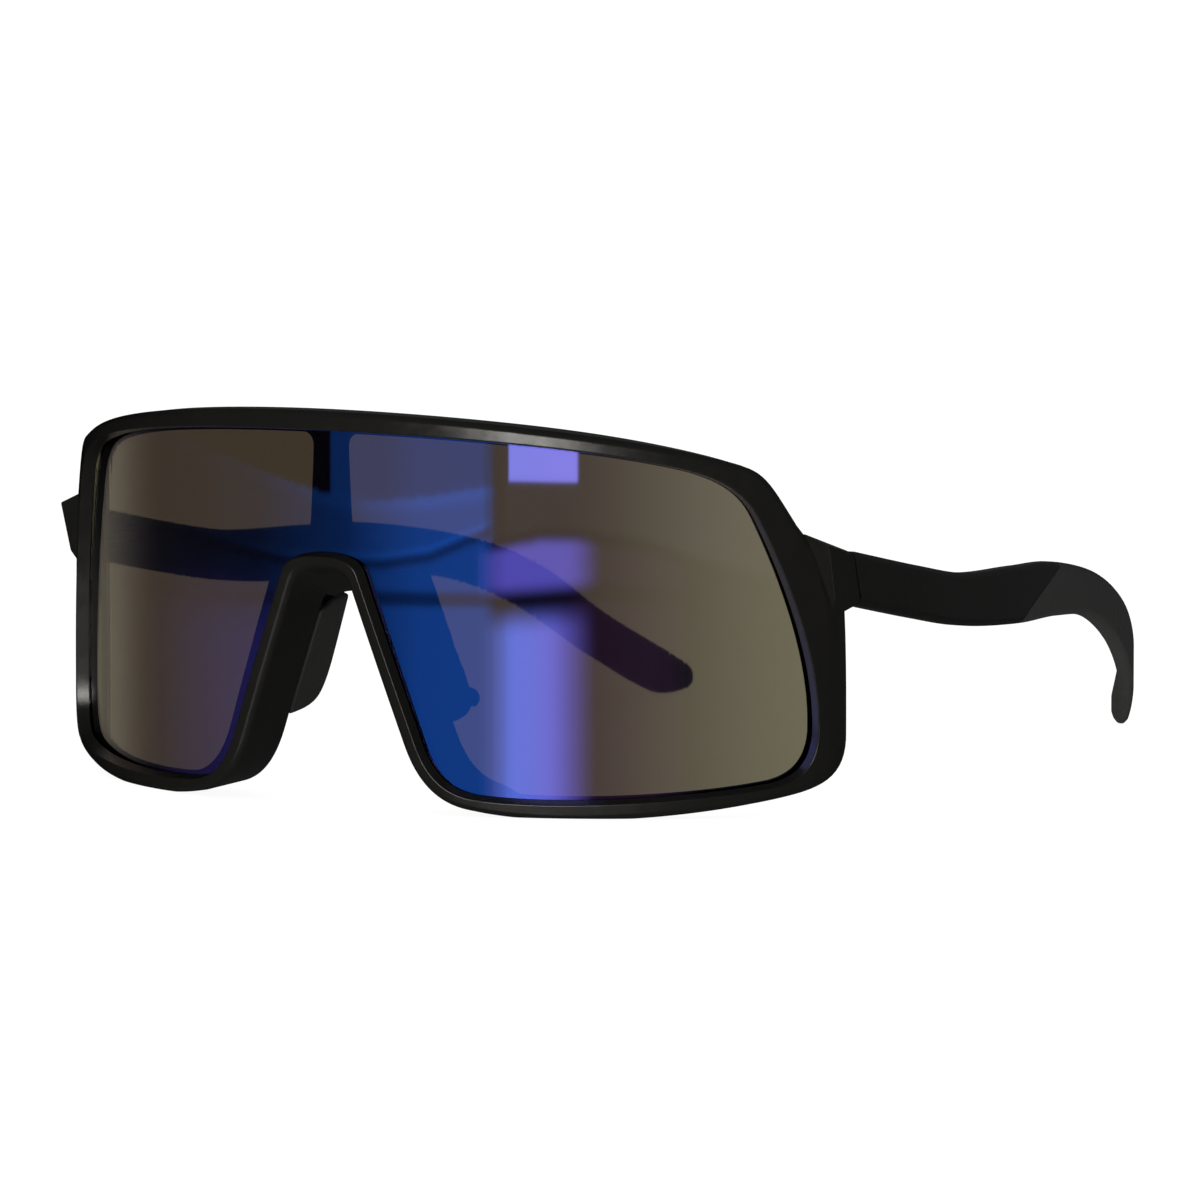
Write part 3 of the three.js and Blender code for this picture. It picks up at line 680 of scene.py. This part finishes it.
def nose_pad():
    """Soft pad with rounded edges and the stud that holds it."""
    pad = prism("nose_pad_soft_left", pad_outline(), (0, PAD_THICKNESS), on_nose_side)
    bevelled(pad, PAD_ROUNDING, segments=5, angle=50)
    return combine(pad, pad_stud(), "UNION")


def pad_carrier():
    """The tab of the front that the stud of the left pad snaps through."""
    carrier = bevelled(prism("carrier", CARRIER, CARRIER_X, on_nose_side), CARRIER_EDGE)
    profile = rod(STUD_RADIUS + GAP, CARRIER_X[0] - OVERCUT, CARRIER_X[1] + OVERCUT)
    return combine(carrier, turned("hole", profile, round_stud), "DIFFERENCE")


def front_frame():
    """The whole front in one moulding."""
    front = rim_ring()
    front.name = "front_moulding"
    combine(front, ledge(), "UNION")
    for make in (end_piece, pad_carrier):
        left = make()
        right = mirrored(left, "right")
        combine(front, left, "UNION")
        combine(front, right, "UNION")
    cutters = hinge_recess()
    cutters += [mirrored(cutter, "right") for cutter in cutters]
    cutters.append(block("below_floor", (-100, -10, -10), (100, 60, 0)))
    for cutter in cutters:
        combine(front, cutter, "DIFFERENCE")
    return front


def shield_lens():
    """The lens, out to where the groove of the rim holds it."""
    points, outwards = opening_outline()
    edge = points + LENS_HELD * outwards
    return new_piece("shield_lens_clear", *wrapped_plate(edge, 0, LENS_THICKNESS))


# ---- temples ----

temple_outer = catmull(TEMPLE_OUTER)
temple_top = catmull(TEMPLE_TOP)
temple_bottom = catmull(TEMPLE_BOTTOM)
temple_thickness = catmull(TEMPLE_THICKNESS)


def temple_arm(name):
    """The whole left temple and sock: a slab with rounded chamfers whose front leans as the seam."""
    tip_start = TIP_Y - TIP_ROUNDING
    y = np.concatenate([
        np.linspace(SEAM_Y, tip_start, TEMPLE_STATIONS),
        TIP_Y - TIP_ROUNDING * np.linspace(0.9, 0, TIP_STATIONS),
    ])
    into_tip = np.clip((y - tip_start) / TIP_ROUNDING, 0, 0.98)
    inset = TIP_ROUNDING * (1 - np.sqrt(1 - into_tip**2))
    outer = temple_outer(y) - inset
    inner = temple_outer(y) - temple_thickness(y) + inset
    top = temple_top(y) - inset
    bottom = np.maximum(0, temple_bottom(y)) + inset
    c = TEMPLE_CHAMFER
    pairs = [
        (outer, bottom + c), (outer, top - c), (outer - c, top), (inner + c, top),
        (inner, top - c), (inner, bottom + c), (inner + c, bottom), (outer - c, bottom),
    ]
    lead = np.zeros_like(y)
    lead[0] = 1
    corners = np.stack(
        [np.stack([x, y + lead * (seam_at(z) + GAP / 2 - y), z], axis=1) for x, z in pairs], axis=1
    )
    radii = [TEMPLE_CORNER_RADIUS] * len(pairs)
    return new_piece(name, *loft(rounded(corners, radii, 3), False))


def tang(allowance):
    """The core of the temple inside the ear sock, or with an allowance the room for it."""
    y = np.linspace(TANG_Y[0], TANG_Y[1] + allowance, TANG_STATIONS)
    middle = temple_outer(y) - temple_thickness(y) / 2
    centre = (temple_top(y) + temple_bottom(y)) / 2
    half_height = TANG_SHARE / 2 * (temple_top(y) - temple_bottom(y)) + allowance
    half = TANG_THICKNESS / 2 + allowance
    sides = [(1, -1), (1, 1), (-1, 1), (-1, -1)]
    corners = [np.stack([middle + a * half, y, centre + b * half_height], axis=1) for a, b in sides]
    return new_piece("tang", *loft(np.stack(corners, axis=1), False))


def behind_split(shift):
    """Everything behind the slanting edge between temple and ear sock, well past them."""
    top, bottom = SPLIT_TOP[0] + shift, SPLIT_BOTTOM[0] + shift
    bend = [(bottom + 3, 26.8), (top - 10, 29.6), (top, SPLIT_TOP[1])]
    edge, _ = stations((bottom, SPLIT_BOTTOM[1]), [bend], [SPLIT_STEPS])
    outline = [(bottom, 10), *map(tuple, edge), (top, 50), (200, 50), (200, -20), (150, -20)]
    return prism("split", outline, (30, 90), lambda a, b, c: (c, a, b))


def temple_body():
    """The rigid left temple, with room for its hinge leaf in front and a core behind."""
    arm = temple_arm("temple_arm_left")
    recess_end = SEAM_Y + TEMPLE_LEAF_LENGTH + GAP
    bottom = HINGE_Z - LEAF_HALF_HEIGHT - GAP
    top = HINGE_Z + LEAF_HALF_HEIGHT + GAP
    leaf_face = HINGE_X + HINGE_RADIUS + LEAF_THICKNESS + GAP
    combine(arm, behind_split(0), "DIFFERENCE")
    recess = block(
        "room", (HINGE_X - OVERCUT, SEAM_Y - 3 * OVERCUT, bottom), (leaf_face, recess_end, top)
    )
    combine(arm, recess, "DIFFERENCE")
    return combine(arm, tang(0), "UNION")


def ear_sock():
    """The rubber end of the left temple, with room for the core."""
    sock = temple_arm("ear_sock_soft_left")
    combine(sock, behind_split(GAP), "INTERSECT")
    return combine(sock, tang(GAP), "DIFFERENCE")


# ---- hinges ----

LEAF_X = (HINGE_X + HINGE_RADIUS, HINGE_X + HINGE_RADIUS + LEAF_THICKNESS)
LEAF_Z = (HINGE_Z - LEAF_HALF_HEIGHT, HINGE_Z + LEAF_HALF_HEIGHT)
EYE_HEIGHT = (2 * LEAF_HALF_HEIGHT - 2 * EYE_GAP) / 3
KNUCKLE_ROOM = HINGE_RADIUS + GAP


def round_hinge(x, y, z):
    return HINGE_X + x, SEAM_Y + y, z


def hinge_eye(low, high, steps=48):
    """One knuckle with its web out to the leaf."""
    turn = math.asin(WEB_HALF / HINGE_RADIUS)
    reach = HINGE_RADIUS + LEAF_THICKNESS
    angles = np.linspace(turn, 2 * math.pi - turn, steps)
    arc = [(HINGE_RADIUS * math.cos(a), HINGE_RADIUS * math.sin(a)) for a in angles]
    outline = [(reach, -WEB_HALF), (reach, WEB_HALF), *arc]
    eye = prism("eye", outline, (low, high), round_hinge)
    profile = rod(SCREW_RADIUS + RUNNING_CLEARANCE, low - OVERCUT, high + OVERCUT)
    return combine(eye, turned("bore", profile, round_hinge), "DIFFERENCE")


def leaf_plate(from_y, to_y, low, high):
    return block("leaf", (LEAF_X[0], from_y, low), (LEAF_X[1], to_y, high))


def hinge(name, plates, eyes):
    """One hinge leaf from its plates and eyes."""
    piece = plates[0]
    piece.name = name
    for other in [*plates[1:], *eyes]:
        combine(piece, other, "UNION")
    return bevelled(piece, LEAF_EDGE, segments=2, angle=40)


def frame_hinge():
    plate_end = SEAM_Y - KNUCKLE_ROOM
    upper, lower = LEAF_Z[1] - EYE_HEIGHT, LEAF_Z[0] + EYE_HEIGHT
    plates = [
        leaf_plate(SEAM_Y - FRAME_LEAF_LENGTH, plate_end, *LEAF_Z),
        leaf_plate(plate_end - LEAF_OVERLAP, SEAM_Y, LEAF_Z[0], lower),
        leaf_plate(plate_end - LEAF_OVERLAP, SEAM_Y, upper, LEAF_Z[1]),
    ]
    eyes = [hinge_eye(LEAF_Z[0], lower), hinge_eye(upper, LEAF_Z[1])]
    return hinge("frame_leaf_left", plates, eyes)


def temple_hinge():
    plate_start = SEAM_Y + KNUCKLE_ROOM
    low, high = LEAF_Z[0] + EYE_HEIGHT + EYE_GAP, LEAF_Z[1] - EYE_HEIGHT - EYE_GAP
    plates = [
        leaf_plate(plate_start, SEAM_Y + TEMPLE_LEAF_LENGTH, *LEAF_Z),
        leaf_plate(SEAM_Y, plate_start + LEAF_OVERLAP, low, high),
    ]
    return hinge("temple_leaf_left", plates, [hinge_eye(low, high)])


def hinge_screw():
    """The pin of the left hinge: a screw with a domed, slotted head."""
    foot, rim = LEAF_Z[0], SCREW_HEAD_RADIUS
    base = LEAF_Z[1] + 0.1
    top = base + SCREW_HEAD_HEIGHT
    profile = [
        (0, foot - 0.2), (SCREW_RADIUS - 0.2, foot - 0.2), (SCREW_RADIUS, foot), (SCREW_RADIUS, base),
        (rim - 0.05, base), (rim, base + 0.05), (rim, top - 0.35), (rim - 0.1, top - 0.12),
        (rim - 0.35, top), (0, top),
    ]
    screw = turned("screw_left", profile, round_hinge)
    reach = 2 * OVERCUT
    slot = block(
        "slot",
        (HINGE_X - reach, SEAM_Y - SCREW_SLOT_HALF, top - SCREW_SLOT_DEPTH),
        (HINGE_X + reach, SEAM_Y + SCREW_SLOT_HALF, top + OVERCUT),
    )
    return combine(screw, slot, "DIFFERENCE")


# ---- materials ----

MICRON = 0.000001  # in metres
NOISE_RANGE = (0.3, 0.7)  # where most of a noise lies
PLASTIC_COLOURS = (0.0036, 0.0036, 0.0034), (0.0048, 0.0047, 0.0044)
PLASTIC_ROUGHNESS = (0.18, 0.24)
SOCK_COLOURS = (0.0175, 0.0175, 0.017), (0.0195, 0.0194, 0.0188)
# the sock's rubber darkened with painted shade, as the pads stand in shade inside the front
PAD_PAINTED_SHADE_COLOURS = (0.008, 0.008, 0.0077), (0.0095, 0.0094, 0.009)
RUBBER_ROUGHNESS = (0.55, 0.68)
STEEL_COLOURS = (0.36, 0.35, 0.33), (0.46, 0.45, 0.43)
STEEL_ROUGHNESS = (0.2, 0.36)
POLYMER_IOR = 1.5
SMOKE_AND_PAINTED_LIGHT_COLOURS = (0.046, 0.034, 0.0245), (0.15, 0.138, 0.1)  # smoke tint in the middle of the lens; at its ends, lighter with painted light
PAINTED_LIGHT_FADE = (0.036, 0.072)  # metres from the middle of the lens, over which the painted light at the ends fades in
LENS_ROUGHNESS = 0.02
MIRROR_IOR = 2.0  # raised over the real one, so that the coating mirrors as much as it does
MIRROR_TINT = (0.22, 0.25, 1.0)


def new_material(name):
    material = bpy.data.materials.new(name)
    material.use_nodes = True
    return material, material.node_tree, material.node_tree.nodes["Principled BSDF"]


def noise(tree, scale, detail=2.0, stretch=(1, 1, 1)):
    """Noise over the piece itself, scale in cycles per metre."""
    coords = tree.nodes.new("ShaderNodeTexCoord")
    mapping = tree.nodes.new("ShaderNodeMapping")
    mapping.inputs["Scale"].default_value = stretch
    texture = tree.nodes.new("ShaderNodeTexNoise")
    texture.inputs["Scale"].default_value = scale
    texture.inputs["Detail"].default_value = detail
    tree.links.new(coords.outputs["Object"], mapping.inputs["Vector"])
    tree.links.new(mapping.outputs["Vector"], texture.inputs["Vector"])
    return texture.outputs["Fac"]


def spread(tree, value, low, high):
    """Noise turned into a range."""
    node = tree.nodes.new("ShaderNodeMapRange")
    node.inputs["From Min"].default_value = NOISE_RANGE[0]
    node.inputs["From Max"].default_value = NOISE_RANGE[1]
    node.inputs["To Min"].default_value = low
    node.inputs["To Max"].default_value = high
    tree.links.new(value, node.inputs["Value"])
    return node.outputs["Result"]


def blend_colours(tree, value, first, second):
    node = tree.nodes.new("ShaderNodeMix")
    node.data_type = "RGBA"
    node.inputs["A"].default_value = (*first, 1)
    node.inputs["B"].default_value = (*second, 1)
    tree.links.new(value, node.inputs["Factor"])
    return node.outputs["Result"]


def bumped(tree, shader, heights):
    """Chains bumps: each is a height and its depth in metres."""
    normal = None
    for height, depth in heights:
        bump = tree.nodes.new("ShaderNodeBump")
        bump.inputs["Strength"].default_value = 1.0
        bump.inputs["Distance"].default_value = depth
        tree.links.new(height, bump.inputs["Height"])
        if normal:
            tree.links.new(normal, bump.inputs["Normal"])
        normal = bump.outputs["Normal"]
    tree.links.new(normal, shader.inputs["Normal"])


def satin_plastic():
    """Black injection-moulded nylon with a fine spark-eroded texture."""
    material, tree, shader = new_material("satin_black_plastic")
    tint = blend_colours(tree, noise(tree, 180, 3), *PLASTIC_COLOURS)
    tree.links.new(tint, shader.inputs["Base Color"])
    gloss = spread(tree, noise(tree, 420, 4), *PLASTIC_ROUGHNESS)
    tree.links.new(gloss, shader.inputs["Roughness"])
    shader.inputs["IOR"].default_value = POLYMER_IOR
    bumped(tree, shader, [(noise(tree, 5200, 3), 12 * MICRON), (noise(tree, 900, 2), 6 * MICRON)])
    return material


def soft_rubber(name, colours):
    """Matte thermoplastic rubber of the socks and pads."""
    material, tree, shader = new_material(name)
    tint = blend_colours(tree, noise(tree, 900, 3), *colours)
    tree.links.new(tint, shader.inputs["Base Color"])
    gloss = spread(tree, noise(tree, 700, 3), *RUBBER_ROUGHNESS)
    tree.links.new(gloss, shader.inputs["Roughness"])
    shader.inputs["IOR"].default_value = POLYMER_IOR
    bumped(tree, shader, [(noise(tree, 7500, 2), 10 * MICRON)])
    return material


def hinge_steel():
    """Stamped nickel-plated steel with fine drawing lines."""
    material, tree, shader = new_material("nickel_plated_steel")
    shader.inputs["Metallic"].default_value = 1.0
    tint = blend_colours(tree, noise(tree, 900, 2), *STEEL_COLOURS)
    tree.links.new(tint, shader.inputs["Base Color"])
    lines = noise(tree, 2200, 2, (1, 0.06, 1))
    tree.links.new(spread(tree, lines, *STEEL_ROUGHNESS), shader.inputs["Roughness"])
    bumped(tree, shader, [(lines, 3 * MICRON)])
    return material


def mirror_lens():
    """Smoke polycarbonate with a blue mirror coating; painted light makes its colour a little lighter
    towards its two ends.
    """
    material, tree, shader = new_material("blue_mirror_smoke_lens")
    coords = tree.nodes.new("ShaderNodeTexCoord")
    parts = tree.nodes.new("ShaderNodeSeparateXYZ")
    across = tree.nodes.new("ShaderNodeMath")
    across.operation = "ABSOLUTE"
    painted_light_to_end = tree.nodes.new("ShaderNodeMapRange")
    painted_light_to_end.interpolation_type = "SMOOTHSTEP"
    painted_light_to_end.inputs["From Min"].default_value = PAINTED_LIGHT_FADE[0]
    painted_light_to_end.inputs["From Max"].default_value = PAINTED_LIGHT_FADE[1]
    tree.links.new(coords.outputs["Object"], parts.inputs["Vector"])
    tree.links.new(parts.outputs["X"], across.inputs[0])
    tree.links.new(across.outputs["Value"], painted_light_to_end.inputs["Value"])
    # painted light: the smoke tint lightens towards both ends of the lens
    tint = blend_colours(tree, painted_light_to_end.outputs["Result"], *SMOKE_AND_PAINTED_LIGHT_COLOURS)
    tree.links.new(tint, shader.inputs["Base Color"])
    shader.inputs["Transmission Weight"].default_value = 1.0
    shader.inputs["Roughness"].default_value = LENS_ROUGHNESS
    shader.inputs["IOR"].default_value = MIRROR_IOR
    shader.inputs["Specular Tint"].default_value = (*MIRROR_TINT, 1)
    return material


# ---- putting the pieces in place ----

PLASTIC = satin_plastic()
SOCK_RUBBER = soft_rubber("matte_sock_rubber", SOCK_COLOURS)
# the pads' rubber: the same as the socks', made darker with painted shade
PAD_RUBBER_PAINTED_SHADE = soft_rubber("matte_pad_rubber_painted_shade", PAD_PAINTED_SHADE_COLOURS)
STEEL = hinge_steel()
LENS = mirror_lens()


def place(piece, material, body, slot, node):
    """Gives a finished piece its material and body, shades it and hides the CAD node that it stands
    for. The slot is not used.
    """
    piece.data.materials.clear()
    piece.data.materials.append(material)
    shaded(piece)
    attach(piece, body)
    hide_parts(node)
    return piece


def place_pair(left, material, bodies, slot, node):
    """A left piece and its mirror image, each on its own body."""
    right = mirrored(left, left.name.replace("left", "right"))
    place(left, material, bodies[0], slot, node + "_left")
    place(right, material, bodies[1], slot, node + "_right")
    return left, right


FRONT = ("front", "front")
TEMPLES = ("left_temple", "right_temple")

place(front_frame(), PLASTIC, "front", "frame_plastic", "front_frame")
lens = place(shield_lens(), LENS, "front", "lens", "shield_lens")
for pad in place_pair(nose_pad(), PAD_RUBBER_PAINTED_SHADE, FRONT, "soft_rubber", "nose_pad"):
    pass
place_pair(temple_body(), PLASTIC, TEMPLES, "frame_plastic", "temple")
place_pair(ear_sock(), SOCK_RUBBER, TEMPLES, "soft_rubber", "ear_sock")
place_pair(frame_hinge(), STEEL, FRONT, "hinge_metal", "frame_hinge")
place_pair(temple_hinge(), STEEL, TEMPLES, "hinge_metal", "temple_hinge")
place_pair(hinge_screw(), STEEL, FRONT, "hinge_metal", "hinge_screw")


# ---- floor, light and camera ----

VIEW_AZIMUTH = math.radians(32.5)
VIEW_ELEVATION = math.radians(5.56)
VIEW_TARGET = Vector((50.8, 0.0, 35.3))  # on the plane of the lens apex, in millimetres
VIEW_DISTANCE = 1500.0
SENSOR_WIDTH = 36.0
FOCAL_LENGTH = 293.04
FLOOR_HALF = 20.0  # metres
FLOOR_BELOW = 0.0001  # metres under the glasses
FLOOR_GREY = 0.12
FLOOR_GLOW = 0.94
WORLD_STRENGTH = 1.0
WORLD_MIRRORED = 0.022
LAMP_AIM = (0, 20, 30)  # millimetres from the lens apex

# Soft lamps: turn from straight ahead and rise in degrees, distance and size in metres, watts,
# colour.
LAMPS = {
    "strip": (16, 18, 0.8, (0.15, 0.36), 6.5, (1.0, 0.97, 0.92)),
    "table": (12, -24, 0.8, (0.4, 0.3), 3, (1.0, 0.97, 0.93)),
    "backdrop": (190, 8, 1.2, (2.4, 0.9), 0.15, (1, 1, 1)),
}

# The ring that the lens mirrors: radius and heights in millimetres, turns in degrees.
RING_RADIUS = 500.0
RING_TURNS = np.arange(-130.0, 100.1, 0.4)
RING_HEIGHTS = np.concatenate([
    np.arange(-300.0, -60.0, 10.0), np.arange(-60.0, 30.0, 0.6), np.arange(30.0, 341.0, 10.0),
])


def floor():
    mesh = bpy.data.meshes.new("floor")
    corners = [(-1, -1), (1, -1), (1, 1), (-1, 1)]
    mesh.from_pydata([(FLOOR_HALF * a, FLOOR_HALF * b, 0) for a, b in corners], [], [(0, 1, 2, 3)])
    ground = bpy.data.objects.new("floor", mesh)
    bpy.context.scene.collection.objects.link(ground)
    ground.location.z = CAD_BOX[0].z - FLOOR_BELOW
    material, _, shader = new_material("pale_floor")
    shader.inputs["Base Color"].default_value = (FLOOR_GREY, FLOOR_GREY, FLOOR_GREY, 1)
    shader.inputs["Roughness"].default_value = 0.9
    shader.inputs["Specular IOR Level"].default_value = 0.0
    shader.inputs["Emission Color"].default_value = (1, 1, 1, 1)
    shader.inputs["Emission Strength"].default_value = FLOOR_GLOW
    mesh.materials.append(material)
    ground.visible_glossy = False
    ground.visible_shadow = False
    ground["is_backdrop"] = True


def world():
    """White all round, and dim where it is mirrored, as in a studio with the lamps flagged off."""
    scene = bpy.context.scene
    scene.world = bpy.data.worlds.new("studio")
    scene.world.use_nodes = True
    tree = scene.world.node_tree
    background = tree.nodes["Background"]
    background.inputs["Color"].default_value = (1, 1, 1, 1)
    path = tree.nodes.new("ShaderNodeLightPath")
    strength = tree.nodes.new("ShaderNodeMapRange")
    strength.inputs["To Min"].default_value = WORLD_STRENGTH
    strength.inputs["To Max"].default_value = WORLD_MIRRORED
    tree.links.new(path.outputs["Is Glossy Ray"], strength.inputs["Value"])
    tree.links.new(strength.outputs["Result"], background.inputs["Strength"])


def within(value, low, high, soft_low, soft_high):
    """1 between two limits, fading to 0 over a soft width outside each."""
    rise = smooth_step(value, low - soft_low, low)
    return rise * (1 - smooth_step(value, high, high + soft_high))


def mix_colours(value, low, high, first, second):
    return mix(np.array(first), np.array(second), smooth_step(value, low, high)[..., None])


def ridge(distance, width, power=2):
    """1 on a line, falling off over a width to both sides."""
    return np.exp(-((distance / width) ** power))


def coloured(amount, colour):
    return amount[..., None] * np.array(colour)


def studio_glow(turn, height):
    """Brightness of what stands round the lens: a strip light a little to one side, its image in
    the table, a wall beyond, and the room on the other side."""
    # Heights of the lines that run round the studio.
    above_table = np.interp(turn, [-80, -50, -27, -18, -6, 6], [23.5, 17.5, 12.5, 12, 13.5, 16])
    rail = np.interp(turn, [-59, -37, -16, -6, 7], [1.5, -0.5, 0.5, 2.5, 8.5])
    table_edge = np.interp(
        turn, [-57, -37, -18, 8, 27, 46, 65], [-11, -9, -7.5, -6.5, -4.5, -6, -10.5]
    )
    wall_edge = np.interp(turn, [6, 16, 23, 35, 46, 60], [4.5, 7, 7, 5.5, 1.5, -3])

    # The blue wall, with a dark rail and the dark edge of the table.
    wall = np.interp(turn, [-80, -60, -45, -24, -8, 0], [0.01, 0.03, 0.1, 0.5, 1.7, 1.8])
    wall = wall * (1 - smooth_step(turn, 4, 8))
    upper = within(turn, -27, 100, 0.5, 1) * mix(1.3, 0.62, smooth_step(turn, -27, -15))
    wall = wall * np.where(height > above_table, upper, 1.0)
    wall = wall * (1 + 0.35 * ridge(height - above_table + 1.2, 1.4))
    line = within(turn, -58, 5, 10, 3)
    wall = wall * (1 - 0.65 * line * ridge(height - rail + 1.2, 1.0))
    wall = wall * (1 + 0.5 * line * ridge(height - rail - 0.6, 0.6))
    wall = wall * (1 - 0.7 * ridge(height - table_edge, 1.5, 4))
    glow = coloured(wall, (0.1, 0.74, 1.02))

    # The strip light, what it lights below it, and its image in the table.
    strip = within(turn, 10, 22.4, 0.4, 1.0) * (height > 17.2)
    glow = glow + strip[..., None] * mix_colours(turn, 12, 22, (6.3, 6.1, 6.5), (7.2, 6.0, 6.7))
    lower = within(turn, 9.5, 20, 7, 8) * smooth_step(wall_edge - height, 0, 3)
    lower = lower * smooth_step(height - table_edge, -0.5, 3.5)
    glow = glow + coloured(lower, (3.0, 2.3, 3.6))
    image = within(turn, 11.5, 16, 8, 11) * smooth_step(table_edge - height, 0.5, 8)
    glow = glow + image[..., None] * mix_colours(turn, 6, 24, (3.3, 5.4, 6.2), (5.2, 3.8, 5.2))

    # The wall beyond the strip light, the dusk under the rail, the room, and its far side.
    beyond = within(turn, 24, 36, 4, 12) * smooth_step(wall_edge - height, 0, 3) * 0.35
    beyond = beyond * (1 - 0.6 * ridge(height - table_edge, 2.0, 4))
    glow = glow + coloured(beyond, (1.2, 0.4, 0.3))
    dusk = within(turn, -43, -34, 42, 14) * smooth_step(rail - height, 2, 22)
    glow = glow + coloured(dusk, (0.22, 0.12, 0.38))
    room = smooth_step(turn, 5, 10) * (1 - smooth_step(turn, 45, 70))
    room = room * smooth_step(height - wall_edge, -1, 2)
    glow = glow + coloured(room, (0.5, 0.4, 0.12))
    side = 1 - smooth_step(turn, -100, -75)
    return glow + coloured(side, (0.17, 0.14, 0.09))


def direction(turn, rise):
    """Unit vector to what stands so far round from straight ahead and so high, in radians."""
    return Vector((
        math.sin(turn) * math.cos(rise), -math.cos(turn) * math.cos(rise), math.sin(rise),
    ))


def only_on(source, name, receivers):
    """Light linking: a source that lights only these objects."""
    group = bpy.data.collections.new(name)
    for receiver in receivers:
        group.objects.link(receiver)
    source.light_linking.receiver_collection = group


def reflections(lens):
    """What the lens mirrors: a ring round it that only shows in reflections."""
    turn, height = np.meshgrid(RING_TURNS, RING_HEIGHTS, indexing="ij")
    angle = np.radians(turn)
    x = RING_RADIUS * np.sin(angle)
    y = LENS_RADIUS - RING_RADIUS * np.cos(angle)
    points = np.stack([x, y, height], axis=-1).reshape(-1, 3)
    rows = len(RING_HEIGHTS)
    first = (np.arange(len(RING_TURNS) - 1)[:, None] * rows + np.arange(rows - 1)).reshape(-1)
    faces = np.stack([first, first + rows, first + rows + 1, first + 1], axis=1)
    mesh = bpy.data.meshes.new("reflections")
    mesh.from_pydata(to_frame(points).tolist(), [], faces.tolist())
    glow = studio_glow(turn, height).reshape(-1, 3)
    layer = mesh.color_attributes.new("glow", "FLOAT_COLOR", "POINT")
    layer.data.foreach_set("color", np.concatenate([glow, np.ones((len(glow), 1))], axis=1).ravel())
    ring = bpy.data.objects.new("reflections", mesh)
    bpy.context.scene.collection.objects.link(ring)
    material = bpy.data.materials.new("studio_glow")
    material.use_nodes = True
    tree = material.node_tree
    tree.nodes.clear()
    colour = tree.nodes.new("ShaderNodeVertexColor")
    colour.layer_name = "glow"
    emission = tree.nodes.new("ShaderNodeEmission")
    output = tree.nodes.new("ShaderNodeOutputMaterial")
    tree.links.new(colour.outputs["Color"], emission.inputs["Color"])
    tree.links.new(emission.outputs["Emission"], output.inputs["Surface"])
    material.cycles.emission_sampling = "NONE"
    mesh.materials.append(material)
    ring.visible_camera = False
    ring.visible_diffuse = False
    ring.visible_transmission = False
    ring.visible_volume_scatter = False
    ring.visible_shadow = False
    only_on(ring, "lit_by_ring", [lens])
    ring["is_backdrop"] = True


def softbox(name, receivers, turn, rise, distance, size, power, colour):
    """A soft lamp facing the glasses, placed as LAMPS says."""
    light = bpy.data.lights.new(name, "AREA")
    light.shape = "RECTANGLE"
    light.size, light.size_y = size
    light.energy = power
    light.color = colour
    box = bpy.data.objects.new(name, light)
    bpy.context.scene.collection.objects.link(box)
    toward = direction(math.radians(turn), math.radians(rise))
    box.location = Vector(to_frame(LAMP_AIM)) + distance * toward
    box.rotation_euler = (-toward).to_track_quat("-Z", "Y").to_euler()
    box.visible_camera = False
    box.visible_transmission = False
    only_on(box, "lit_by_" + name, receivers)


def camera():
    toward = direction(VIEW_AZIMUTH, VIEW_ELEVATION)
    data = bpy.data.cameras.new("camera")
    data.sensor_width = SENSOR_WIDTH
    data.lens = FOCAL_LENGTH
    data.clip_start, data.clip_end = 0.05, 100
    eye = bpy.data.objects.new("camera", data)
    bpy.context.scene.collection.objects.link(eye)
    eye.location = Vector(to_frame(VIEW_TARGET + VIEW_DISTANCE * toward))
    eye.rotation_euler = (-toward).to_track_quat("-Z", "Y").to_euler()
    bpy.context.scene.camera = eye


floor()
world()
reflections(lens)
solid = [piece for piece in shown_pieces() if piece != lens]
for name, lamp in LAMPS.items():
    softbox(name, solid, *lamp)
camera()
bpy.context.scene.view_settings.view_transform = "Standard"
